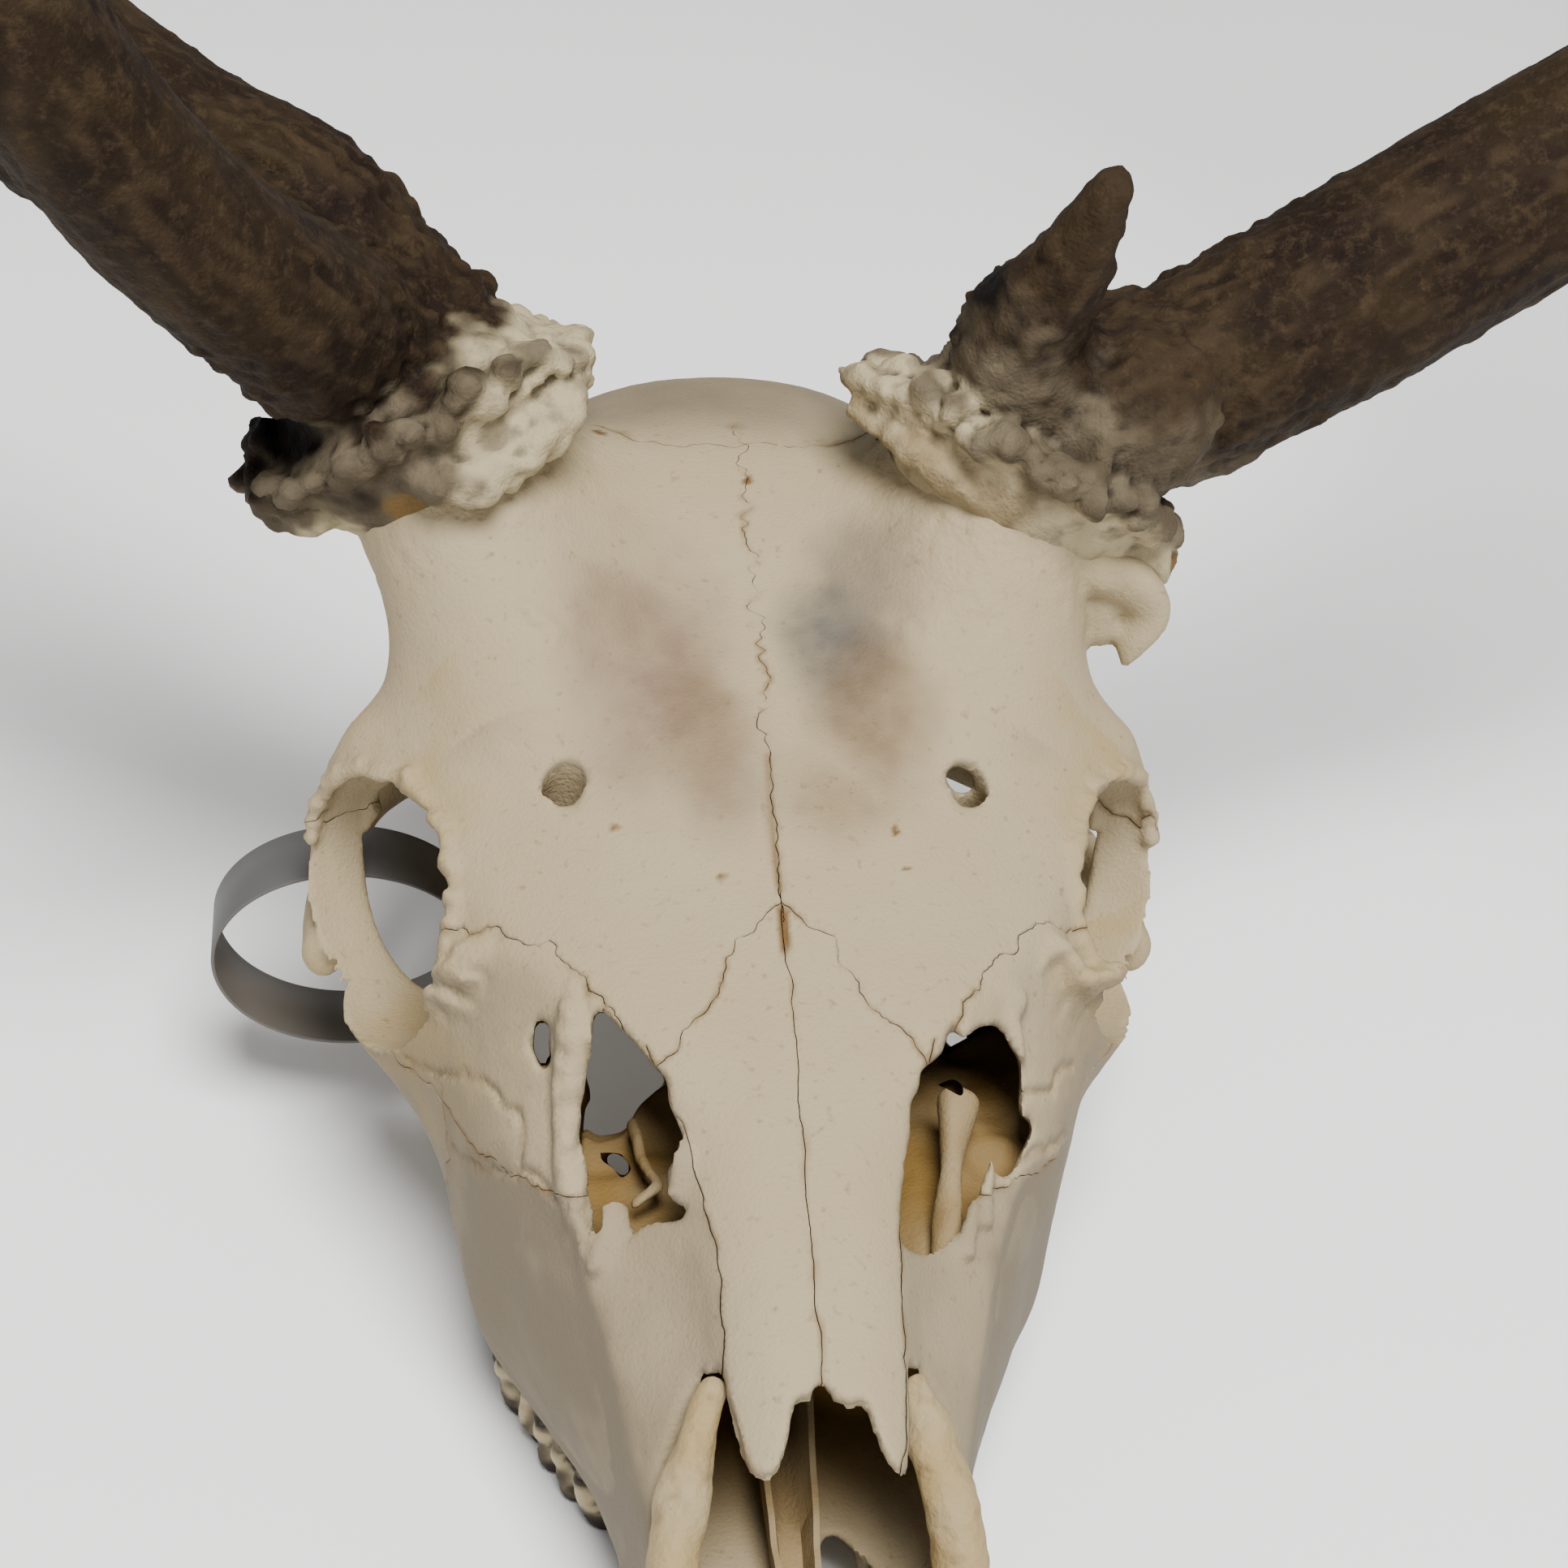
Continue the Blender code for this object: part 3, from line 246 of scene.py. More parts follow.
PITTED = ((26.5, 158.5, 100.5, 7.5), (24, 152, 96.5, 4))
# Stains of the brow in plan: the middle, the reach and how strong it is.
STAINS = {"mauve": (((-15, 155), (14, 22), 0.75), ((-7, 141), (9, 12), 0.5), ((14, 166), (10, 14), 0.5)),
          "slate": (((10.5, 160), (9, 14), 0.85), ((14, 170), (9, 9), 0.4)),
          "umber": (((15, 149), (10, 14), 0.7), ((-9, 147), (7, 13), 0.5), ((8, 137), (9, 9), 0.45))}


def linear(code: str) -> tuple[float, float, float, float]:
    """Turns an sRGB hex colour to linear light.

    Args:
        code: Six hex digits.

    Returns:
        Red, green, blue and an alpha of one.
    """
    out = []
    for i in (0, 2, 4):
        c = int(code[i:i + 2], 16) / 255
        out.append(c / 12.92 if c <= 0.04045 else ((c + 0.055) / 1.055) ** 2.4)
    return (*out, 1.0)


def unit(v: Sequence[float]) -> Array:
    """The vector at length one."""
    a = np.array(v, float)
    return a / np.linalg.norm(a)


def step_up(x: Array, low: float, high: float) -> Array:
    """Smooth rise from 0 at low to 1 at high."""
    t = np.clip((x - low) / (high - low), 0, 1)
    return t * t * (3 - 2 * t)


def flow(knots: Line, t: Sequence[float] | float) -> Array:
    """Values on smooth curves through knots.

    Args:
        knots: Rows of a place and the values there.
        t: Places to read.

    Returns:
        One row of values for each place.
    """
    k = np.array(knots, float)
    s = np.clip(np.atleast_1d(np.asarray(t, float)), k[0, 0], k[-1, 0])
    steps = np.diff(k[:, 1:], axis=0) / np.diff(k[:, :1], axis=0)
    slopes = np.empty_like(k[:, 1:])
    slopes[0], slopes[-1] = steps[0], steps[-1]
    same = steps[:-1] * steps[1:] > 0
    total = np.where(same, steps[:-1] + steps[1:], 1)
    slopes[1:-1] = np.where(same, 2 * steps[:-1] * steps[1:] / total, 0)
    i = np.clip(np.searchsorted(k[:, 0], s, side="right") - 1, 0, len(k) - 2)
    h = (k[i + 1, 0] - k[i, 0])[:, None]
    u = (s - k[i, 0])[:, None] / h
    return ((1 + 2 * u) * (1 - u) ** 2 * k[i, 1:] + u * u * (3 - 2 * u) * k[i + 1, 1:]
            + u * (1 - u) ** 2 * h * slopes[i] + u * u * (u - 1) * h * slopes[i + 1])


def curve(points: Sequence, per_span: int) -> Array:
    """Catmull-Rom curve through points, which may be numbers or arrays.

    Args:
        points: The points to pass through.
        per_span: Steps between two of them.

    Returns:
        The finer row of points.
    """
    p = np.array(points, float)
    p = np.concatenate([2 * p[:1] - p[1:2], p, 2 * p[-1:] - p[-2:-1]])
    out = []
    for a, b, c, d in zip(p, p[1:], p[2:], p[3:]):
        for step in range(per_span):
            s = step / per_span
            square, cube = 2 * a - 5 * b + 4 * c - d, 3 * b - a - 3 * c + d
            out.append(0.5 * (2 * b + (c - a) * s + square * s ** 2 + cube * s ** 3))
    out.append(p[-2])
    return np.array(out)


def ripple(points: Array, size: float, seed: int) -> Array:
    """Smooth random values from -1 to 1 in space.

    Args:
        points: Places in millimetres.
        size: Width of one ripple in millimetres.
        seed: Picks the pattern.

    Returns:
        One value for each place.
    """
    q = points / size + seed * 17.31
    base = np.floor(q).astype(np.int64)
    f = q - base
    f = f * f * (3 - 2 * f)
    total = np.zeros(len(points))
    for corner in range(8):
        offset = np.array([corner & 1, corner >> 1 & 1, corner >> 2 & 1])
        c = base + offset
        h = (c @ HASH + seed * HASH_SEED) & LOW_BITS
        h = ((h ^ (h >> 13)) * HASH_MIX) & LOW_BITS
        value = ((h ^ (h >> 16)) & HALF_BITS) / (HALF_BITS / 2) - 1
        weight = np.prod(np.where(offset == 1, f, 1 - f), axis=1)
        total += value * weight
    return total


def ring_turns(sides: int) -> Array:
    """Even angles once round a ring."""
    return np.linspace(0, 2 * math.pi, sides, endpoint=False)


def lengths_along(line: Array) -> Array:
    """How far along a line each of its points lies."""
    return np.concatenate([[0], np.cumsum(np.linalg.norm(np.diff(line, axis=0), axis=1))])


def new_collection(name: str) -> Collection:
    """A collection under the scene's own.

    Args:
        name: Its name.

    Returns:
        The collection.
    """
    made = bpy.data.collections.new(name)
    bpy.context.scene.collection.children.link(made)
    return made


def keep(name: str, bm: bmesh.types.BMesh, home: Collection, outward: bool = True) -> Object:
    """Makes an object of a bmesh.

    Args:
        name: The object's name.
        bm: The mesh, which is freed.
        home: The collection to put it in.
        outward: Whether its faces are first turned to point out.

    Returns:
        The object.
    """
    if outward:
        bmesh.ops.recalc_face_normals(bm, faces=bm.faces)
    mesh = bpy.data.meshes.new(name)
    bm.to_mesh(mesh)
    bm.free()
    obj = bpy.data.objects.new(name, mesh)
    home.objects.link(obj)
    return obj


def wrap(name: str, rings: Sequence, home: Collection) -> Object:
    """Rolls a grid into a closed skin through a stack of rings.

    Args:
        name: The object's name.
        rings: The stack of rings, each a row of points in millimetres.
        home: The collection to put it in.

    Returns:
        The closed solid.
    """
    rings = np.array(rings)
    rows, columns, _ = rings.shape
    bm = bmesh.new()
    bmesh.ops.create_grid(bm, x_segments=columns, y_segments=rows - 1, size=1)
    for v in bm.verts:
        i = round((v.co.x + 1) / 2 * columns) % columns
        j = round((v.co.y + 1) / 2 * (rows - 1))
        v.co = rings[j, i] * MM
    bmesh.ops.remove_doubles(bm, verts=bm.verts, dist=1e-6)
    rim = [e for e in bm.edges if e.is_boundary]
    if rim:
        bmesh.ops.holes_fill(bm, edges=rim, sides=0)
    bmesh.ops.triangulate(bm, faces=[f for f in bm.faces if len(f.verts) > 4])
    return keep(name, bm, home)


def hose(name: str, points: Sequence, radii: Sequence, home: Collection, sides: int = 24,
         flat: Sequence[float] = (0.0, 0.0, 1.0), domed: bool = True) -> Object:
    """Tube along points.

    Args:
        name: The object's name.
        points: The middle line in millimetres.
        radii: For each point a radius, or a pair of radii across and along flat.
        home: The collection to put it in.
        sides: Points in a ring.
        flat: The direction of the second radius.
        domed: Whether its ends are rounded.

    Returns:
        The closed tube.
    """
    line = np.array(points, float)
    wide = np.array([r if hasattr(r, "__len__") else (r, r) for r in radii], float)
    side = unit(flat)
    turns = ring_turns(sides)
    rings = []
    for i, p in enumerate(line):
        tangent = unit(line[min(i + 1, len(line) - 1)] - line[max(i - 1, 0)])
        side = unit(side - tangent * (side @ tangent))
        other = np.cross(tangent, side)
        shape = np.outer(np.sin(turns) * wide[i, 1], side) + np.outer(np.cos(turns) * wide[i, 0], other)
        if i == 0 and domed:
            for pull in (0.35, 0.75):
                rings.append(p - tangent * wide[i].min() * (1 - pull) * 0.8 + shape * pull ** 0.5)
        rings.append(p + shape)
        if i == len(line) - 1 and domed:
            for pull in (0.75, 0.35):
                rings.append(p + tangent * wide[i].min() * (1 - pull) * 0.8 + shape * pull ** 0.5)
    return wrap(name, rings, home)


def rod(name: str, bends: Sequence, radii: Sequence, home: Collection, side: Side = Side.LEFT,
        sides: int = 24, flat: Sequence[float] = (0.0, 0.0, 1.0), steps: int = 5) -> Object:
    """Tube on a smooth line through a few bends.

    Args:
        name: The object's name.
        bends: The bends on the animal's left, in millimetres.
        radii: For each bend a radius, or a pair of radii across and along flat.
        home: The collection to put it in.
        side: The side to put it on.
        sides: Points in a ring.
        flat: The direction of the second radius.
        steps: Steps between two bends.

    Returns:
        The closed tube.
    """
    return hose(name, mirror(curve(bends, steps), side), curve(radii, steps), home, sides, flat)


def lump(centre: Sequence[float], radii: Sequence[float], home: Collection,
         axes: Sequence | None = None, detail: int = 4) -> Object:
    """Ellipsoid from an icosphere.

    Args:
        centre: Its middle in millimetres.
        radii: Its three radii.
        home: The collection to put it in.
        axes: The directions of the radii.
        detail: Subdivisions of the icosphere.

    Returns:
        The closed solid.
    """
    bm = bmesh.new()
    bmesh.ops.create_icosphere(bm, subdivisions=detail, radius=1)
    turn = Matrix.Identity(3) if axes is None else Matrix([unit(a) for a in axes]).transposed()
    for v in bm.verts:
        v.co = (Vector(centre) + turn @ Vector([r * c for r, c in zip(radii, v.co)])) * MM
    return keep("lump", bm, home)


def blade(rows: Array, home: Collection, thick: float, folds: Array | None = None) -> Object:
    """Thin saw blade on a grid of points.

    Args:
        rows: Row, column and coordinate, in millimetres.
        home: The collection to put it in.
        thick: The width of its cut in millimetres.
        folds: How far each point of both its faces is moved from the grid.

    Returns:
        The closed blade.
    """
    m, n, _ = rows.shape
    bm = bmesh.new()
    bmesh.ops.create_grid(bm, x_segments=n - 1, y_segments=m - 1, size=1)
    order = []
    for v in bm.verts:
        i = round((v.co.x + 1) / 2 * (n - 1))
        j = round((v.co.y + 1) / 2 * (m - 1))
        v.co = rows[j, i] * MM
        order.append(j * n + i)
    bmesh.ops.triangulate(bm, faces=bm.faces)
    obj = keep("blade", bm, home)
    wall = obj.modifiers.new("wall", "SOLIDIFY")
    wall.thickness = thick * MM
    wall.offset = 0
    bake(obj)
    if folds is not None:
        shell = Skin(obj)
        moved = folds.reshape(-1, 3)[order]
        shell.points += np.concatenate([moved, moved])
        shell.put()
    return obj


def bake(obj: Object) -> Object:
    """Applies the modifiers of an object to its mesh.

    Args:
        obj: The object.

    Returns:
        The object.
    """
    graph = bpy.context.evaluated_depsgraph_get()
    mesh = bpy.data.meshes.new_from_object(obj.evaluated_get(graph))
    obj.modifiers.clear()
    old = obj.data
    obj.data = mesh
    bpy.data.meshes.remove(old)
    return obj


def gather(name: str, home: Collection) -> Object:
    """Puts all meshes of a collection into one object, and removes the collection.

    Args:
        name: The new object's name.
        home: The collection to empty.

    Returns:
        The object, whose closed skins may still run through each other.
    """
    bm = bmesh.new()
    for obj in list(home.objects):
        bm.from_mesh(obj.data)
        bpy.data.objects.remove(obj)
    bpy.data.collections.remove(home)
    return keep(name, bm, bpy.context.scene.collection, outward=False)


def skin(obj: Object, size: float, smoothings: int) -> Object:
    """Gives overlapping solids one skin of even faces, and softens their creases.

    Args:
        obj: The object to remesh.
        size: Width of a face in millimetres.
        smoothings: Rounds of smoothing.

    Returns:
        The object.
    """
    remesh = obj.modifiers.new("skin", "REMESH")
    remesh.mode = "VOXEL"
    remesh.voxel_size = size * MM
    bake(obj)
    if smoothings:
        soften = obj.modifiers.new("soften", "SMOOTH")
        soften.factor = 0.5
        soften.iterations = smoothings
        bake(obj)
    return obj


def triangles(piece: Object) -> int:
    """How many triangles a piece has."""
    return sum(len(polygon.vertices) - 2 for polygon in piece.data.polygons)


def thin_out(piece: Object, share: float) -> None:
    """Leaves only a share of a piece's triangles.

    Args:
        piece: The piece to work on.
        share: The share that stays.
    """
    fewer = piece.modifiers.new("fewer", "DECIMATE")
    fewer.ratio = share
    bake(piece)


def cut(target: Object, tools: Collection) -> Object:
    """Takes a collection of solids out of an object, and removes the collection.

    Args:
        target: The object to cut.
        tools: The collection of cutters.

    Returns:
        The target.
    """
    modifier = target.modifiers.new("cut", "BOOLEAN")
    modifier.operand_type = "COLLECTION"
    modifier.collection = tools
    modifier.operation = "DIFFERENCE"
    modifier.solver = "MANIFOLD"
    bake(target)
    for tool in list(tools.objects):
        bpy.data.objects.remove(tool)
    bpy.data.collections.remove(tools)
    return target


class Skin:
    """The points of a mesh as arrays, in millimetres."""

    def __init__(self, obj: Object) -> None:
        """Reads the points, normals and edges of an object.

        Args:
            obj: The object.
        """
        self.obj = obj
        mesh = obj.data
        count = len(mesh.vertices)
        flat = np.empty(count * 3)
        mesh.vertices.foreach_get("co", flat)
        self.points = flat.reshape(-1, 3) / MM
        normals = np.empty(count * 3, np.float32)
        mesh.vertex_normals.foreach_get("vector", normals)
        self.normals = normals.reshape(-1, 3).astype(float)
        edges = np.empty(len(mesh.edges) * 2, np.int32)
        mesh.edges.foreach_get("vertices", edges)
        self.edges = edges.reshape(-1, 2)

    def spread(self, values: Array) -> Array:
        """Mean of each point's neighbours.

        Args:
            values: One value or row of values for each point.

        Returns:
            The means, in the same shape.
        """
        a, b = self.edges[:, 0], self.edges[:, 1]
        count = len(self.points)
        links = np.maximum(np.bincount(a, minlength=count) + np.bincount(b, minlength=count), 1)
        columns = values.reshape(count, -1)
        out = np.empty_like(columns, dtype=float)
        for k in range(columns.shape[1]):
            sums = np.bincount(a, columns[b, k], count) + np.bincount(b, columns[a, k], count)
            out[:, k] = sums / links
        return out.reshape(values.shape)

    def hollow(self, rounds: int) -> Array:
        """How hollow the surface is at each point, from -1 on a sharp edge to 1 in a crease.

        Args:
            rounds: Rounds of averaging.

        Returns:
            One value for each point.
        """
        mean = self.points
        for _ in range(rounds):
            mean = self.spread(mean)
        depth = np.einsum("ij,ij->i", mean - self.points, self.normals)
        return np.clip(depth / (0.25 * math.sqrt(rounds)), -1, 1)

    def put(self) -> None:
        """Writes the points back to the object."""
        self.obj.data.vertices.foreach_set("co", (self.points * MM).ravel())
        self.obj.data.update()

    def move(self, distance: Array) -> None:
        """Moves each point along its normal by its own distance in millimetres."""
        self.points = self.points + self.normals * distance[:, None]
        self.put()

    def loose(self) -> Array:
        """Numbers the loose parts: one number for each point, the same within a part.

        Returns:
            The numbers.
        """
        a, b = self.edges[:, 0], self.edges[:, 1]
        label = np.arange(len(self.points))
        while True:
            lowest = np.minimum(label[a], label[b])
            fresh = label.copy()
            np.minimum.at(fresh, label[a], lowest)
            np.minimum.at(fresh, label[b], lowest)
            while not np.array_equal(fresh, fresh[fresh]):
                fresh = fresh[fresh]
            if np.array_equal(fresh, label):
                return label
            label = fresh

    def copy_part(self, name: str, chosen: Array) -> Object:
        """Copies some points of the object, with their faces, to a new object.

        Args:
            name: The new object's name.
            chosen: For each point whether it is copied.

        Returns:
            The new object.
        """
        piece = bpy.data.objects.new(name, self.obj.data.copy())
        bpy.context.scene.collection.objects.link(piece)
        piece.vertex_groups.new(name="kept").add(np.flatnonzero(chosen).tolist(), 1.0, "REPLACE")
        mask = piece.modifiers.new("kept", "MASK")
        mask.vertex_group = "kept"
        bake(piece)
        piece.vertex_groups.clear()
        return piece

    def tell(self, **told: Array) -> None:
        """Stores what the materials read: one number for each point under each name."""
        for name, values in told.items():
            layer = self.obj.data.attributes.new(name, "FLOAT", "POINT")
            layer.data.foreach_set("value", np.clip(values, 0, 1).astype(np.float32))


def add_node(tree: bpy.types.NodeTree, kind: str, inputs: dict | None = None,
             **settings) -> bpy.types.Node:
    """Adds a node with its settings and links.

    Args:
        tree: The node tree.
        kind: The end of its type's name, after ShaderNode.
        inputs: Constants or sockets by the input's name or number.
        **settings: The node's own properties.

    Returns:
        The node.
    """
    node = tree.nodes.new("ShaderNode" + kind)
    for key, value in settings.items():
        setattr(node, key, value)
    for key, value in (inputs or {}).items():
        socket = node.inputs[key]
        if isinstance(value, bpy.types.NodeSocket):
            tree.links.new(value, socket)
        else:
            socket.default_value = value
    return node


def finer(rows: Sequence, step: float) -> Array:
    """Divides a grid of points until no two neighbours are further apart than a step.

    Args:
        rows: Row, column and coordinate, in millimetres.
        step: The widest gap to leave.

    Returns:
        The finer grid.
    """
    grid = np.array(rows, float)
    for axis in (0, 1):
        grid = np.moveaxis(grid, axis, 0)
        gaps = np.linalg.norm(np.diff(grid, axis=0), axis=2).max(axis=1)
        counts = np.maximum(1, np.ceil(gaps / step).astype(int))
        parts = [grid[i] + (grid[i + 1] - grid[i]) * (k / c)
                 for i, c in enumerate(counts) for k in range(c)]
        grid = np.moveaxis(np.array(parts + [grid[-1]]), 0, axis)
    return grid


def waver(grid: Array, reach: float, size: float, seed: int) -> Array:
    """Folds for a grid to and fro along its own normals, like the edge of a bone in a seam.

    Args:
        grid: Row, column and coordinate, in millimetres.
        reach: How far the folds go.
        size: Width of a fold.
        seed: Picks the pattern.

    Returns:
        How far each point is moved.
    """
    across = np.gradient(grid, axis=0)
    down = np.gradient(grid, axis=1)
    normal = np.cross(across, down)
    normal /= np.maximum(np.linalg.norm(normal, axis=2, keepdims=True), 1e-9)
    flat = grid.reshape(-1, 3)
    fold = 0.65 * ripple(flat, size, seed) + 0.35 * ripple(flat, size * 0.45, seed + 1)
    return normal * (fold * reach * 1.6).reshape(*grid.shape[:2], 1)


def mirror(points: Sequence, side: Side) -> Array:
    """Left-side points or directions, put on the side asked for."""
    return np.array(points, float) * np.array([side.value, 1, 1])


def both_halves(profile: Sequence, y: float) -> Array:
    """One closed upright ring at a distance back, from its half profile.

    Args:
        profile: Half width and height of its bends, from the top down.
        y: The distance back.

    Returns:
        The ring's points.
    """
    half = curve(profile, 6)
    left = np.column_stack([half[:, 0], np.full(len(half), y), half[:, 1]])
    return np.concatenate([left, mirror(left, Side.RIGHT)[-2:0:-1]])


def face_rings(lines: dict[str, Line], span: tuple[float, float, int]) -> Array:
    """The rings of a body that is lofted through lines."""
    return np.array([both_halves([flow(knots, y)[0] for knots in lines.values()], y)
                     for y in np.linspace(*span)])


@dataclass(frozen=True)
class Seam:
    """How a seam between two bones runs.

    Attributes:
        reach: How far its folds go, in millimetres.
        size: Width of a fold, in millimetres.
    """

    reach: float = 0.7
    size: float = 2.2


@dataclass
class Head:
    """The skull's bones without the front jaw bones, made as one body and then parted.

    Attributes:
        soft_cell: Face width of the first, soft skin.
        fine_cell: Face width of the finished skin.
        seam_width: Width of the gap between two bones.
        plain: A nearly straight seam.
        toothed: A seam with small teeth.
        folded: A seam with deep folds.
        burr_clearance: Radius of the seat under a burr.
        most_faces: The most triangles that one bone may keep.
        chip: The most points of a loose part that counts as a chip.
        knobs: The most knobs on one eye socket's rim.
        pieces: The bones by name, once they are parted.
        outer: The soft body's surface, which tells inside from outside.
        seams: The surface of the saw blades.
    """

    soft_cell: float = 1.5
    fine_cell: float = 0.75
    seam_width: float = 0.14
    plain: Seam = Seam(0.35, 3.0)
    toothed: Seam = Seam(0.9, 2.4)
    folded: Seam = Seam(1.9, 1.9)
    burr_clearance: float = 27.6
    most_faces: int = 190_000
    chip: int = 400
    knobs: int = 130
    pieces: dict[str, Object] = field(default_factory=dict)
    outer: BVHTree | None = None
    seams: BVHTree | None = None

    def soft_body(self) -> Object:
        """Joins the face, the brow, the braincase and the antler stalks under one soft skin.

        Returns:
            The soft body.
        """
        home = new_collection("soft")
        wrap("face", face_rings(FACE_LINES, FACE_SPAN), home)
        self.brow(home)
        self.braincase(home)
        for side in Side:
            self.stalk(side, home)
        body = skin(gather("head", home), self.soft_cell, 2)
        self.fair(body)
        self.outer = BVHTree.FromObject(body, bpy.context.evaluated_depsgraph_get())
        return body

    def brow(self, home: Collection) -> None:
        """Adds the broad roof behind the eyes.

        Args:
            home: The collection to put it in.
        """
        rings = []
        for y in np.linspace(*BROW_SPAN):
            middle = flow(BROW_MIDLINE, y)[0, 0]
            x, z = flow(BROW_EDGE, y)[0]
            crest_x, crest_z = flow(BROW_CREST, y)[0]
            half = [(0, middle), (20, (middle + crest_z) / 2 + 1.2), (crest_x, crest_z), (x, z),
                    (x - 2, z - 6), (30, middle - 19), (0, middle - 22)]
            rings.append(both_halves(half, y))
        wrap("brow", rings, home)

    def braincase(self, home: Collection) -> None:
        """Adds the rounded case behind the brow.

        Args:
            home: The collection to put it in.
        """
        turns = ring_turns(CASE_TURNS)
        c, s = np.cos(turns), np.sin(turns)
        power = 2 / 2.4
        rings = []
        for y in np.linspace(*CASE_SPAN):
            half, top, bottom = flow(BRAINCASE, y)[0]
            x = half * np.sign(c) * np.abs(c) ** power
            z = (top + bottom) / 2 + (top - bottom) / 2 * np.sign(s) * np.abs(s) ** power
            rings.append(np.column_stack([x, np.full(CASE_TURNS, y), z]))
        wrap("case", rings, home)

    def stalk(self, side: Side, home: Collection) -> None:
        """Adds the bony stalk under one antler, which spreads into the brow.

        Args:
            side: The animal's side.
            home: The collection to put it in.
        """
        axis = mirror(unit(PEDICLE_AXIS), side)
        seat = np.array(BURRS[side])
        foot = mirror(PEDICLE_FOOT, side)
        turns = ring_turns(STALK_TURNS)[:, None]
        knots = ((0, 17, 17.5), (0.3, 16.8, 18.5), (0.65, 18.5, 23), (1, 20, 27))
        rings = []
        for share in np.linspace(0, 1, 17):
            wide, deep = flow(knots, share)[0]
            normal = unit(axis * (1 - share) + np.array([0, 0, 1]) * share)
            across = unit(np.cross((0, 1, 0), normal))
            back = np.cross(normal, across)
            centre = seat + (foot - seat) * share
            rings.append(centre + across * wide * np.cos(turns) + back * deep * np.sin(turns))
        wrap("stalk", rings, home)

    def fair(self, body: Object, rounds: int = 160) -> None:
        """Fills the creases round the antler stalks until they run smoothly into the brow.

        Args:
            body: The soft body.
            rounds: Rounds of smoothing.
        """
        shell = Skin(body)
        weight = 0.35 * step_up(shell.points[:, 2], 80, 90) * step_up(shell.points[:, 1], 128, 142)
        for side in Side:
            axis = mirror(unit(PEDICLE_AXIS), side)
            seat = np.array(BURRS[side])
            rise = (shell.points - seat) @ axis
            off = np.linalg.norm(shell.points - seat - rise[:, None] * axis, axis=1)
            near = (1 - step_up(off, 27, 38)) * step_up(-rise, 3.5, 8) * (1 - step_up(-rise, 26, 38))
            weight = np.maximum(weight, near * step_up(shell.points[:, 2], 84, 92))
        for _ in range(rounds):
            shell.points += weight[:, None] * 0.7 * (shell.spread(shell.points) - shell.points)
        shell.put()

    def carve(self, body: Object) -> Object:
        """Opens the nose, the windows beside it, the eye sockets, the temples and the throat.

        Args:
            body: The body to work on.

        Returns:
            The carved body.
        """
        tools = new_collection("carving")
        wrap("nose", face_rings(NOSE_LINES, NOSE_SPAN), tools)
        self.open_front(tools)
        for side in Side:
            self.open_side(side, tools)
        lump((0, 252, 48), (10.5, 20, 9.5), tools)
        return cut(body, tools)

    def open_front(self, tools: Collection) -> None:
        """Cuts the front of the nose back to the jaw bones and to the notched nose tips.

        Args:
            tools: The collection of cutters.
        """
        front = [(20, -5), (39, -5), (41, 13), (48.5, 25), (60.5, 40), (67.8, 53), (60, 51.6), (44, 45.5),
                 (20, 36)]
        wrap("front", [[(x, y, z) for y, z in front] for x in (-40, 40)], tools)
        edge = [(-13, 59.5), (-10.6, 57), (-9.9, 54.5), (-9.3, 52.6), (-8.3, 51.2), (-7, 50.8),
                (-5.9, 51.4), (-5.1, 52.9), (-4.5, 55), (-3.9, 57.3), (-3.4, 59), (-2.4, 59.3),
                (-1.6, 58.9), (-0.6, 61), (0, 62.2), (0.5, 60.4), (1.3, 58.5), (2.1, 58.8), (3, 58),
                (4.9, 58.8), (5.7, 56.7), (6.5, 53.9), (7.4, 52.1), (8.7, 51.3), (9.8, 52.1),
                (10.6, 54.1), (11, 57), (13, 59.5)]
        plan = [(-30, 58), (-30, 30), (30, 30), (30, 58)] + list(reversed(edge))
        wrap("tips", [[(x, y, z) for x, y in plan] for z in (44.5, 80)], tools)
        for side in Side:
            beside = [(9.6, 34), (10, 50), (11, 60), (11.4, 66.5), (13.5, 65), (17, 62), (21, 61),
                      (30, 60), (30, 34)]
            wrap("beside", mirror([[(x, y, z) for x, y in beside] for z in (41, 75)], side), tools)

    def open_side(self, side: Side, tools: Collection) -> None:
        """Cuts one side's window, eye socket, temple, throat opening, brow hole and antler seat.

        Args:
            side: The animal's side.
            tools: The collection of cutters.
        """
        axis = mirror(unit(PEDICLE_AXIS), side)
        burr = np.array(BURRS[side])
        hose("seat", [burr - axis * SEAT_DEPTH, burr + axis * 24], [self.burr_clearance] * 2, tools, 64,
             domed=False)
        axes = self.eye_axes(side)
        lump(mirror(EYE_CENTRE, side) + axes[0] * EYE_SHIFT, EYE_RADII, tools, axes, 5)
        lump(mirror((40, 169, 55), side), (14, 24, 23), tools)
        lump(mirror((52, 186, 66), side), (15, 17, 17), tools)
        slope = ((1, 0, 0), (0, 0.81, -0.58), (0, 0.58, 0.81))
        lump(mirror((9.5, 162, 36), side), (7.5, 36, 11), tools, slope)
        self.window(side, tools)
        hose("brow_hole", mirror(((27, 140.5, 94), (27.5, 142, 84), (31, 145, 66)), side),
             [3.1, 2.9, 2.9], tools)
        lump(mirror((27.6, 137.5, 87.4), side), (3.4, 6, 3.2), tools)
        if side is Side.LEFT:
            turns = ring_turns(HOLE_TURNS)
            ring = np.column_stack([31.4 + 2.1 * np.cos(turns), 162.2 + 3.2 * np.sin(turns)])
            self.along_sight(ring, 0, 91, tools)
            self.along_sight(SLIT, 68, 95, tools)
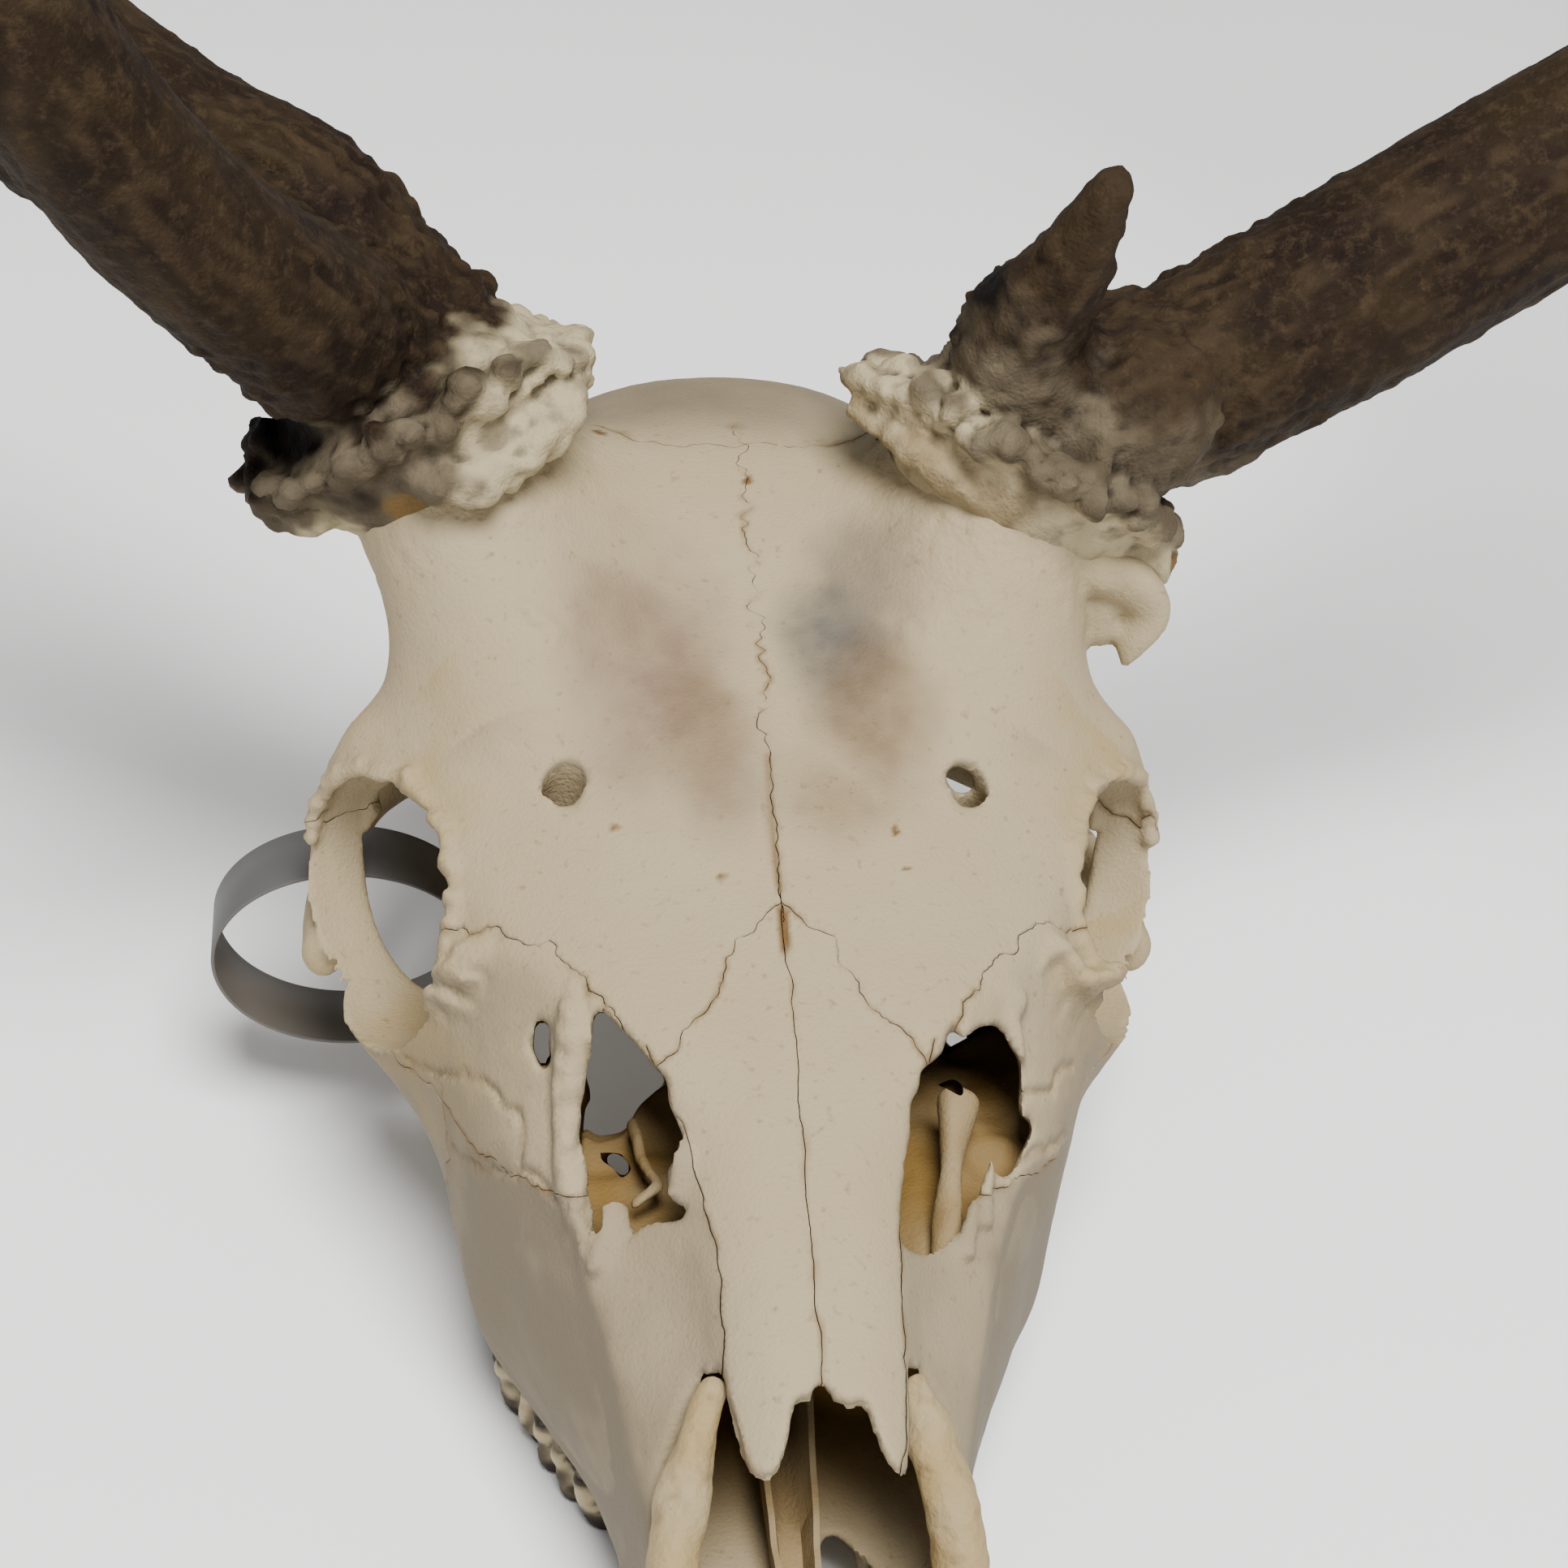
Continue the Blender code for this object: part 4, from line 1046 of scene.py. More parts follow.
            for plan in PALATE_GAPS:
                self.along_sight(plan, -8, 40, tools)

    def window(self, side: Side, tools: Collection) -> None:
        """Cuts the ragged window beside the nose, and what can be seen right through below it.

        Args:
            side: The animal's side.
            tools: The collection of cutters.
        """
        self.along_sight(WINDOWS[side], 46, 90, tools)
        for plan in THROUGH[side]:
            self.along_sight(plan, -8, 90, tools)

    def along_sight(self, plan: Line, low: float, high: float, tools: Collection) -> None:
        """Cuts along the sight lines through an outline.

        Args:
            plan: The outline's points in plan, at the sight level.
            low: The level to which it cuts.
            high: The level from which it cuts.
            tools: The collection of cutters.
        """
        corners = np.array(plan, float)
        closed = curve(np.concatenate([corners, corners[:1]]), 6)[:-1]
        flat = np.column_stack([closed, np.zeros(len(closed))])
        closed += 0.18 * np.column_stack([ripple(flat, 1.9, 71), ripple(flat, 1.9, 72)])
        at = np.column_stack([closed, np.full(len(closed), SIGHT_LEVEL)])
        eye = np.array(CAMERA_AT)
        rings = [at + (eye - at) * ((z - SIGHT_LEVEL) / (eye[2] - SIGHT_LEVEL)) for z in (low, high)]
        wrap("sight", rings, tools)

    def add_fine_parts(self, body: Object) -> Object:
        """Adds the arches, the base, the ear bulbs, the neck points and the teeth, and skins it all.

        Args:
            body: The body to work on.

        Returns:
            The body with its finished skin.
        """
        home = new_collection("fine")
        self.rim_knobs(body, home)
        home.objects.link(body)
        bpy.context.scene.collection.objects.unlink(body)
        self.middle_ridges(home)
        for side in Side:
            lump(mirror((13.5, 246, 38), side), (9, 8, 11), home)
            lump(mirror((19, 208, 24), side), (7.5, 11, 10), home)
            ear = curve([(28, 214, 40), (37, 217, 46), (42, 218, 50)], 4)
            hose("ear_tube", mirror(ear, side), np.linspace(6, 4.5, len(ear)), home, 20)
            self.arch(side, home)
            rod("wing", ((17, 168, 38), (16.5, 173, 32), (15, 181, 30), (10.5, 190, 32)),
                ((2, 4), (1.8, 5), (2, 5.5), (2.5, 5)), home, side, 20)
            self.neck_point(side, home)
            self.teeth(side, home)
            self.hook(side, home)
        self.folds_and_flakes(home)
        return skin(gather("head", home), self.fine_cell, 1)

    def middle_ridges(self, home: Collection) -> None:
        """Adds the keel of the skull's base and the crest over the nape.

        Args:
            home: The collection to put it in.
        """
        hose("keel", [(0, 246, 36), (0, 225, 32), (0, 200, 30), (0, 180, 33), (0, 160, 42)],
             [(11, 6), (10, 6.5), (8.5, 6), (7, 6), (5, 6)], home)
        arc = [(40 * math.cos(a), 234 + 4 * math.sin(a), 44 + 44 * math.sin(a))
               for a in np.linspace(0.1, math.pi - 0.1, 40)]
        hose("nape_crest", arc, [3.2] * len(arc), home, 16)

    def folds_and_flakes(self, home: Collection) -> None:
        """Adds the fold and web under the left burr, and the strut and splinters at the windows.

        Args:
            home: The collection to put it in.
        """
        rod("fold", ((47, 171.5, 103), (53.5, 171.5, 100), (56.5, 171, 95.5), (55, 169, 91),
                     (54.4, 168, 88.4)), ((4, 4), (3.4, 5), (2.6, 4.6), (1.6, 2.6), (0.5, 0.8)),
            home, sides=20, flat=(0, -0.6, 0.8))
        hose("web", [(46, 174, 102), (49.3, 174.6, 99), (50.6, 173.8, 94.6), (50.8, 172.6, 91)],
             [5, 4.8, 4.4, 3.4], home)
        rod("strut", STRUT, ((2.4, 1.5), (2.2, 1.5), (1.9, 1.4), (2.1, 1.4), (1, 1)), home, sides=16,
            flat=(0, -0.5, 0.8))
        for bends, radii in FLAKES:
            rod("flake", bends, [(r, 0.75) for r in radii], home, sides=16, flat=(0.1, -0.6, 0.8))

    def eye_axes(self, side: Side) -> tuple[Array, ...]:
        """The outward, lengthways and upright directions of an eye socket."""
        outward, lengthways = mirror(unit(EYE_OUTWARD), side), mirror(unit(EYE_ALONG), side)
        return outward, lengthways, np.cross(outward, lengthways)

    def eye_share(self, p: Array, side: Side) -> Array:
        """How far each point lies from an eye socket's middle, with 1 on its wall.

        Args:
            p: One row for each point, in millimetres.
            side: The animal's side.

        Returns:
            One value for each point.
        """
        axes = self.eye_axes(side)
        off = p - mirror(EYE_CENTRE, side) - axes[0] * EYE_SHIFT
        return np.sqrt(sum((off @ axis / radius) ** 2 for axis, radius in zip(axes, EYE_RADII)))

    def rim_knobs(self, body: Object, home: Collection) -> None:
        """Roughens the eye sockets' rims with small knobs.

        Args:
            body: The body to work on.
            home: The collection to put it in.
        """
        rng = np.random.default_rng(3)
        p = Skin(body).points
        for side in Side:
            share = self.eye_share(p, side)
            near = np.flatnonzero((share > 0.99) & (share < 1.05) & (p[:, 2] > 62) & (p[:, 1] < 172)
                                  & (p[:, 0] * side.value > 0))
            found = [self.outer.find_nearest(Vector(p[k]) * MM)[3] / MM for k in near]
            near = near[np.array(found) < 0.5]
            for k in rng.permutation(near)[:self.knobs]:
                lump(p[k] + rng.uniform(-0.4, 0.4, 3), rng.uniform(0.6, 1.6, 3), home, None, 2)

    def hook(self, side: Side, home: Collection) -> None:
        """Adds the knobbly hook at the front of the eye socket, and the low lobe below it.

        Args:
            side: The animal's side.
            home: The collection to put it in.
        """
        rng = np.random.default_rng(5)
        for at in curve(HOOKS[side], 4):
            for _ in range(2):
                lump(at + rng.uniform(-1.0, 1.0, 3), rng.uniform(0.9, 2.1, 3), home, None, 3)
        lobe = curve(HOOK_LOBE, 4)
        hose("lobe", mirror(lobe, side), np.linspace(3, 0.8, len(lobe)), home, 16)

    def arch(self, side: Side, home: Collection) -> None:
        """Adds the bar that runs back from under the eye to the ear.

        Args:
            side: The animal's side.
            home: The collection to put it in.
        """
        rod("arch", ((34, 212, 48), (44, 206, 45), (52, 196, 44), (57, 182, 44.5), (59.5, 168, 45.5),
                     (59.5, 155, 46)), ((5, 8), (4, 5.5), (2.6, 4), (2.4, 3.8), (2.4, 3.8), (3, 4)),
            home, side, steps=6)

    def neck_point(self, side: Side, home: Collection) -> None:
        """Adds the bony point beside the neck joint, with the level end that the skull rests on.

        Args:
            side: The animal's side.
            home: The collection to put it in.
        """
        turns = ring_turns(POINT_TURNS)
        knots = ((0, 23.4, 231.6, 2.4, 3), (9, 24, 231, 3.6, 4.6), (26, 26, 229, 5.5, 7),
                 (46, 28, 226, 8, 9))
        rings = []
        for z in np.linspace(0, 46, 24):
            x, y, wide, deep = flow(knots, z)[0]
            rings.append(np.column_stack([side.value * x + wide * np.cos(turns), y + deep * np.sin(turns),
                                          np.full(POINT_TURNS, z)]))
        wrap("neck_point", rings, home)

    def teeth(self, side: Side, home: Collection) -> None:
        """Adds six cheek teeth, the front three single and the back three in two lobes.

        Args:
            side: The animal's side.
            home: The collection to put it in.
        """
        turns = ring_turns(POINT_TURNS)
        rng = np.random.default_rng(8)
        y = 75.5
        for length, width in zip(TOOTH_LENGTHS, TOOTH_WIDTHS):
            lobes = 1 if width < 9 else 2
            for lobe in range(lobes):
                swell, lean = rng.uniform(0.9, 1.08), rng.uniform(0.17, 0.3)
                span = length / lobes
                middle = y + span * (lobe + 0.5)
                x = flow(TOOTH_ROW, middle)[0, 0]
                heading = (flow(TOOTH_ROW, middle + 3) - flow(TOOTH_ROW, middle - 3))[0, 0]
                angle = math.atan2(heading, 6)
                rings = []
                for z, grow in TOOTH_GROWTH:
                    u = np.cos(turns) * width / 2 * grow * swell - lean * max(0, 9 - z)
                    v = np.sin(turns) * span * 0.56 * grow * (1 - 0.22 * np.cos(turns) ** 2)
                    rings.append(np.column_stack([
                        side.value * (x + u * math.cos(angle) + v * math.sin(angle)),
                        middle - u * math.sin(angle) + v * math.cos(angle), np.full(POINT_TURNS, z)]))
                wrap("tooth", rings, home)
            y += length

    def weather(self, body: Object) -> None:
        """Gives the skin the low relief of old bone.

        Args:
            body: The body to work on.
        """
        shell = Skin(body)
        p = shell.points
        relief = 0.16 * ripple(p, 11, 1) + 0.07 * ripple(p, 4.5, 2) + 0.05 * ripple(p, 1.7, 3)
        rough = self.rough_share(p)
        relief += rough * (0.28 * ripple(p, 3.1, 4) + 0.22 * ripple(p, 1.6, 5))
        crown = (p[:, 2] < 13) * (p[:, 1] < 155) * (np.abs(p[:, 0]) > 10)
        relief += crown * (0.5 * ripple(p, 4, 66) + 0.3 * ripple(p, 1.7, 67))
        beyond = np.abs(p[:, 0]) - flow(CHEEK, p[:, 1])[:, 0]
        cheek = step_up(p[:, 1], 50, 58) * (1 - step_up(p[:, 1], 96, 108)) * step_up(p[:, 2], 14, 20)
        relief -= 1.1 * cheek * step_up(beyond, 0, 3) * (1 - step_up(beyond, 6, 14))
        jagged = p + 0.7 * np.column_stack([ripple(p, 2.2, k) for k in (61, 62, 63)])
        relief -= 0.5 * along_lines(jagged, PLATES, 0.9)
        relief += 0.5 * along_lines(jagged, [SCAR], 1.3) - 0.3 * along_lines(p, [CRACK], 0.8)
        relief -= 0.4 * along_lines(p, [GAP], 1.1)
        relief += along_lines(p, [STRUT], 4.5) * (0.5 * ripple(p * (1.6, 0.4, 0.6), 1.4, 64))
        shell.move(relief * step_up(p[:, 2], 1.5, 5))

    def rough_share(self, p: Array) -> Array:
        """Where the bone is coarse: under the burrs, on the nape and at the front of the eyes.

        Args:
            p: One row for each point, in millimetres.

        Returns:
            One value from 0 to 1 for each point.
        """
        share = step_up(p[:, 1], 222, 238) * 0.8
        for side in Side:
            seat = np.array(BURRS[side])
            away = np.linalg.norm(p - seat, axis=1)
            share = np.maximum(share, 1 - step_up(away, 17, 30))
            hook = np.linalg.norm(p - mirror((45, 122, 68), side), axis=1)
            share = np.maximum(share, 1 - step_up(hook, 4, 11))
            rim = np.abs(self.eye_share(p, side) - 1.03)
            over = step_up(p[:, 2], 68, 76) * (p[:, 1] < 168)
            share = np.maximum(share, 0.9 * over * (1 - step_up(rim, 0.03, 0.1)))
        share = np.maximum(share, 0.9 * along_lines(p, [STRUT], 5))
        return np.maximum(share, 0.8 * spots(p, PITTED, 65))

    def brow_front(self, x: float) -> float:
        """How far back the front edge of the brow bone lies, by distance from the midline."""
        return flow(((0, 122), (6, 116), (10, 108), (14, 104), (17.5, 100.4), (23.7, 109.5), (30, 118),
                     (38, 125), (50, 131), (72, 134)), abs(x))[0, 0]

    def brow_floor(self, x: float) -> list[tuple[float, float]]:
        """The saw line below the brow bone, from its front edge to its back edge.

        Args:
            x: The distance from the midline.

        Returns:
            Distance back and height of each bend.
        """
        x = abs(x)
        start = self.brow_front(x)
        back = 193 + 14 * min(max((x - 16) / 18, 0), 1)
        fall = (x / 55) ** 1.6
        path = [(start, 120), (start, 100)]
        for y in (start, (start + 158) / 2, 158, 169, 182):
            drop = (13 + 19 * min(max((y - 158) / 11, 0), 1)) * fall
            roof = flow(FACE_LINES["midline"], min(y, 172))[0, 1] + max(y - 172, 0) * 0.36
            path.append((y, roof - 10 - drop))
        return path + [(back - 4, 97 - 13 * fall), (back, 106), (back + 1, 125)]

    def saw(self, rows: Sequence, seam: Seam, seed: int, saws: Collection) -> None:
        """Adds one folded blade on a coarse grid of points.

        Args:
            rows: The coarse grid.
            seam: How the seam runs.
            seed: Picks how it folds.
            saws: The collection of blades.
        """
        grid = finer(rows, 0.8 if seam.size > 2 else 0.5)
        folds = waver(grid, seam.reach, seam.size, seed)
        if seam is self.folded:
            folds *= (0.25 + 0.75 * step_up(grid[:, :, 1], 142, 150))[:, :, None]
        blade(grid, saws, self.seam_width, folds)

    def part(self, body: Object) -> Object:
        """Saws the head along its seams.

        Args:
            body: The body to work on.

        Returns:
            The sawn body.
        """
        saws = new_collection("saws")
        spans = ((-72, -38, 12), (-36, 36, 73), (38, 72, 12))
        columns = np.concatenate([np.linspace(*span) for span in spans])
        self.saw([[(x, y, z) for y, z in self.brow_floor(x)] for x in columns], self.toothed, 21, saws)
        floor = self.brow_floor(0)[2:-2]
        floor = [(floor[0][0] - 3, floor[0][1]), *floor, (floor[-1][0] + 9, floor[-1][1])]
        self.saw([[(0.0, y, z - 3), (0.0, y, 130)] for y, z in floor], self.folded, 22, saws)
        tops = ((30, 95), (123.5, 95), (123.6, 74.5), (126.5, 74.5), (126.6, 29.5), (175, 29.5))
        self.saw([[(0.0, y, z) for z in (-5, top)] for y, top in tops], self.plain, 23, saws)
        wall = ((-41, 137), (-34, 131), (-20, 125), (20, 125), (34, 131), (41, 137))
        self.saw([[(x, y, z) for z in (20, 68, 75)] for x, y in wall], self.plain, 25, saws)
        floor = ((124, 28), (150, 28), (157, 24), (162, -5))
        self.saw([[(x, y, z) for x in (-35.5, 0, 35.5)] for y, z in floor], self.plain, 26, saws)
        edge = ((38, 7.2), (50, 8.4), (60, 10.8), (75, 11.3), (85, 12.6), (92, 14), (103, 18.6))
        cheek = ((89, 80), (91, 58), (102, 53), (111, 51), (120, 51.5), (127, 50), (136, 57), (140, 60))
        jugal = ((119.5, 55), (114.5, 44), (117, 36), (125, 30.5), (140, 27.6), (158, 26), (166, 10))
        for side in Side:
            s = side.value
            rows = []
            for y in np.linspace(38, 103, 12):
                top = flow(FACE_LINES["midline"], y)[0, 1]
                rows.append([(s * flow(edge, y)[0, 0], y, z) for z in (top - 12, top + 6)])
            self.saw(rows, self.plain, 30 + s, saws)
            for first, bends, seed in ((18.5, cheek, 33), (22, jugal, 36)):
                rows = [[(x * s, y, z) for x in (first, 45, 70)] for y, z in bends]
                self.saw(rows, self.toothed, seed + s, saws)
            rows = [[(34 * s, y, z) for z in (5, 67.5)] for y in (128, 150, 175)]
            self.saw(rows, self.plain, 39 + s, saws)
            self.saw([[(x * s, y, z) for z in (30, 62)] for x, y in ((44, 174), (72, 189))], self.toothed,
                     42 + s, saws)
        bm = bmesh.new()
        for obj in saws.objects:
            bm.from_mesh(obj.data)
        self.seams = BVHTree.FromBMesh(bm)
        bm.free()
        return cut(body, saws)

    def name_bones(self, body: Object) -> None:
        """Copies each loose part under the name of its bone, by a point near it, without the chips.

        Args:
            body: The body to work on.
        """
        shell = Skin(body)
        part = shell.loose()
        sizes = np.bincount(part, minlength=len(part))
        large = sizes[part] > self.chip
        seeds = {"cranium": (0, 215, 108)}
        for bone, point in (("frontal", (20, 160, 94)), ("nasal", (5, 90, 70)), ("maxilla", (33, 92, 34)),
                            ("lacrimal", (34, 114, 71)), ("zygomatic", (59, 143, 49))):
            for side in Side:
                seeds["%s_%s" % (bone, side.word)] = tuple(mirror(point, side))
        found: dict[int, str] = {}
        for name, seed in seeds.items():
            away = np.where(large, np.linalg.norm(shell.points - seed, axis=1), FAR)
            number = int(part[np.argmin(away)])
            if number in found:
                LOG.warning("%s isn't parted from %s", name, found[number])
                continue
            found[number] = name
            self.pieces[name] = shell.copy_part("bone_" + name, part == number)
        bpy.data.objects.remove(body)

    def build(self) -> None:
        """Makes the head and parts it into its bones."""
        body = self.soft_body()
        body = self.carve(body)
        body = self.add_fine_parts(body)
        self.weather(body)
        body = self.part(body)
        self.name_bones(body)

    def mark(self, piece: Object) -> None:
        """Stores where a bone is stained, dirty, coarse, thin and amber, or a tooth, and where painted
        shade lies.

        Args:
            piece: The piece to work on.
        """
        shell = Skin(piece)
        p = shell.points
        crease = shell.hollow(5)
        cloud = 0.5 + 0.5 * ripple(p, 7, 31) + 0.25 * ripple(p, 2.6, 32)
        inside = np.zeros(len(p))
        near_nose = np.flatnonzero((np.abs(p[:, 0]) < 40) & (p[:, 1] < 150) & (p[:, 2] > 8))
        for k in near_nose:
            at, normal, _, _ = self.outer.find_nearest(Vector(p[k]) * MM)
            inside[k] = -(Vector(p[k]) * MM - at).dot(normal) / MM
        amber = step_up(inside, 1.7, 4.5) * (1 - step_up(p[:, 1], 128, 146))
        amber *= 0.08 + 0.92 * step_up(p[:, 1], 66, 90)
        seam = np.ones(len(p)) * 2
        for k in np.flatnonzero(p[:, 2] > 15):
            _, _, _, away = self.seams.find_nearest(Vector(p[k]) * MM, 0.9 * MM)
            if away is not None:
                seam[k] = away / MM
        row = (p[:, 2] < 15) & (p[:, 1] < 153) & (p[:, 1] > 74) & (np.abs(p[:, 0]) > 10)
        tooth = row * (1 - step_up(p[:, 2] + 0.8 * ripple(p, 3, 33), 11, 13))
        taper = np.sin(np.clip((p[:, 1] - 112.5) / 11, 0, 1) * math.pi)
        # Dirt in seams, cracks, the gap, specks and plate edges, and painted shade in the creases, where
        # the surface is hollow.
        dirt = np.maximum.reduce([
            0.6 * (1 - step_up(seam, 0.05, 0.5)) * step_up(cloud, 0.35, 0.8),
            0.4 * step_up(crease, 0.45, 1.0) * (1 - amber),
            step_up(along_lines(p, [GAP], 1.4) * taper, 0.35, 0.75), spots(p, SPECKS, 47),
            0.9 * along_lines(p, [CRACK], 0.9), 0.35 * along_lines(p, PLATES, 0.8)])
        gum = 1 - step_up(np.abs(p[:, 2] - 11.5 + 0.8 * ripple(p, 2, 34)), 0.4, 1.8)
        worn = 1 - step_up(p[:, 2] + 1.5 * ripple(p, 3, 37), 2.5, 6)
        outside = step_up(np.abs(p[:, 0]) - flow(TOOTH_ROW, p[:, 1])[:, 0], 1.5, 4)
        outside *= 1 - step_up(p[:, 2] + 2.2 * ripple(p, 3.2, 40), 5.5, 8)
        crust = row * np.maximum.reduce([
            step_up(crease, 0.0, 0.4), gum * step_up(ripple(p, 4, 35), -0.5, 0.2),
            worn * step_up(cloud, 0.2, 0.6), outside * 0.9])
        flank = step_up(np.abs(p[:, 0]) + 2 * ripple(p, 5, 36), 34, 48) * (p[:, 1] < 158) * (p[:, 2] > 40)
        ochre = np.maximum(0.45 * flank * step_up(cloud, 0.2, 0.9), 0.95 * spots(p, AMBER_STRIP, 46))
        blot = 0.5 + 0.5 * ripple(p, 3.2, 38) + 0.3 * ripple(p, 1.2, 39)
        for name, rows in STAINS.items():
            total = np.zeros(len(p))
            for middle, reach, much in rows:
                off = np.linalg.norm((p[:, :2] - middle) / reach, axis=1)
                on = (1 - step_up(off + 0.3 * (cloud - 0.5), 0.25, 1.2)) * (p[:, 2] > 70) * (inside < 1)
                total = np.maximum(total, much * on * (0.75 + 0.38 * blot))
            shell.tell(**{name: total})
        # Painted shade: steep sides, which the overhead light reaches less, are darker; so are the
        # maxillae, most of all their cheeks, and the back of the braincase.
        steep = 1 - step_up(shell.normals[:, 2] + 0.15 * (cloud - 0.5), 0.15, 0.8)
        shade = 0.8 * steep * (p[:, 1] < 150) * (inside < 1)
        if "maxilla" in piece.name:
            beyond = np.abs(p[:, 0]) - flow(CHEEK, p[:, 1])[:, 0] + 2 * (cloud - 0.5)
            shade = np.maximum(shade, 0.45 + 0.2 * (cloud - 0.5)) + 0.55 * step_up(beyond, -1, 3)
            shade = np.clip(shade, 0, 1) * (1 - step_up(inside, 1.5, 3))
        shade = np.maximum(shade, 0.9 * step_up(p[:, 1], 188, 206) * (0.7 + 0.3 * cloud))
        shell.tell(shade=shade, ochre=ochre, amber=amber, dirt=dirt, crust=crust, tooth=tooth,
                   coarse=self.rough_share(p))

    def dress(self, finish: "BoneFinish") -> None:
        """Gives every bone its colours and its place in the model.

        Args:
            finish: Its material.
        """
        for name, piece in self.pieces.items():
            faces = triangles(piece)
            if faces > self.most_faces:
                thin_out(piece, self.most_faces / faces)
            self.mark(piece)
            finish.paint(piece)
            settle(piece, "bone", name)


def spots(p: Array, rows: Sequence, seed: int) -> Array:
    """How far each point lies within ragged round spots.

    Args:
        p: One row for each point, in millimetres.
        rows: The centre and radius of each spot.
        seed: Picks how their edges run.

    Returns:
        One value from 0 to 1 for each point.
    """
    out = np.zeros(len(p))
    ragged = 0.22 * ripple(p, 5, seed) + 0.16 * ripple(p, 1.9, seed + 100)
    for *centre, radius in rows:
        away = np.linalg.norm(p - np.array(centre), axis=1) / radius
        out = np.maximum(out, 1 - step_up(away + ragged, 0.7, 1.15))
    return out


def along_lines(p: Array, lines: Sequence, reach: float) -> Array:
    """How near each point lies to some lines, from 1 on a line to 0 at the reach.

    Args:
        p: One row for each point, in millimetres.
        lines: The bends of each line.
        reach: The distance at which it ends.

    Returns:
        One value for each point.
    """
    away = np.full(len(p), FAR)
    for line in lines:
        bends = finer([[b, b] for b in line], 0.3)[:, 0]
        low, high = bends.min(axis=0) - reach, bends.max(axis=0) + reach
        close = np.flatnonzero(np.all((p > low) & (p < high), axis=1))
        for bend in bends:
            away[close] = np.minimum(away[close], np.linalg.norm(p[close] - bend, axis=1))
    return 1 - step_up(away, 0.2 * reach, reach)


def settle(piece: Object, slot: str, *nodes: str) -> None:
    """Moves a finished piece to the model's frame and lets it stand for its nodes.

    Args:
        piece: The piece, in the working frame.
        slot: The name of its material slot; not used.
        *nodes: The nodes that it stands for.
    """
    piece.data.transform(Matrix.Translation(SHIFT))
    for home in list(piece.users_collection):
        home.objects.unlink(piece)
    bpy.context.scene.collection.objects.link(piece)
    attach(piece, ROOT)
    if nodes:
        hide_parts(*nodes)
    LOG.info("%s: %d triangles", piece.name, triangles(piece))


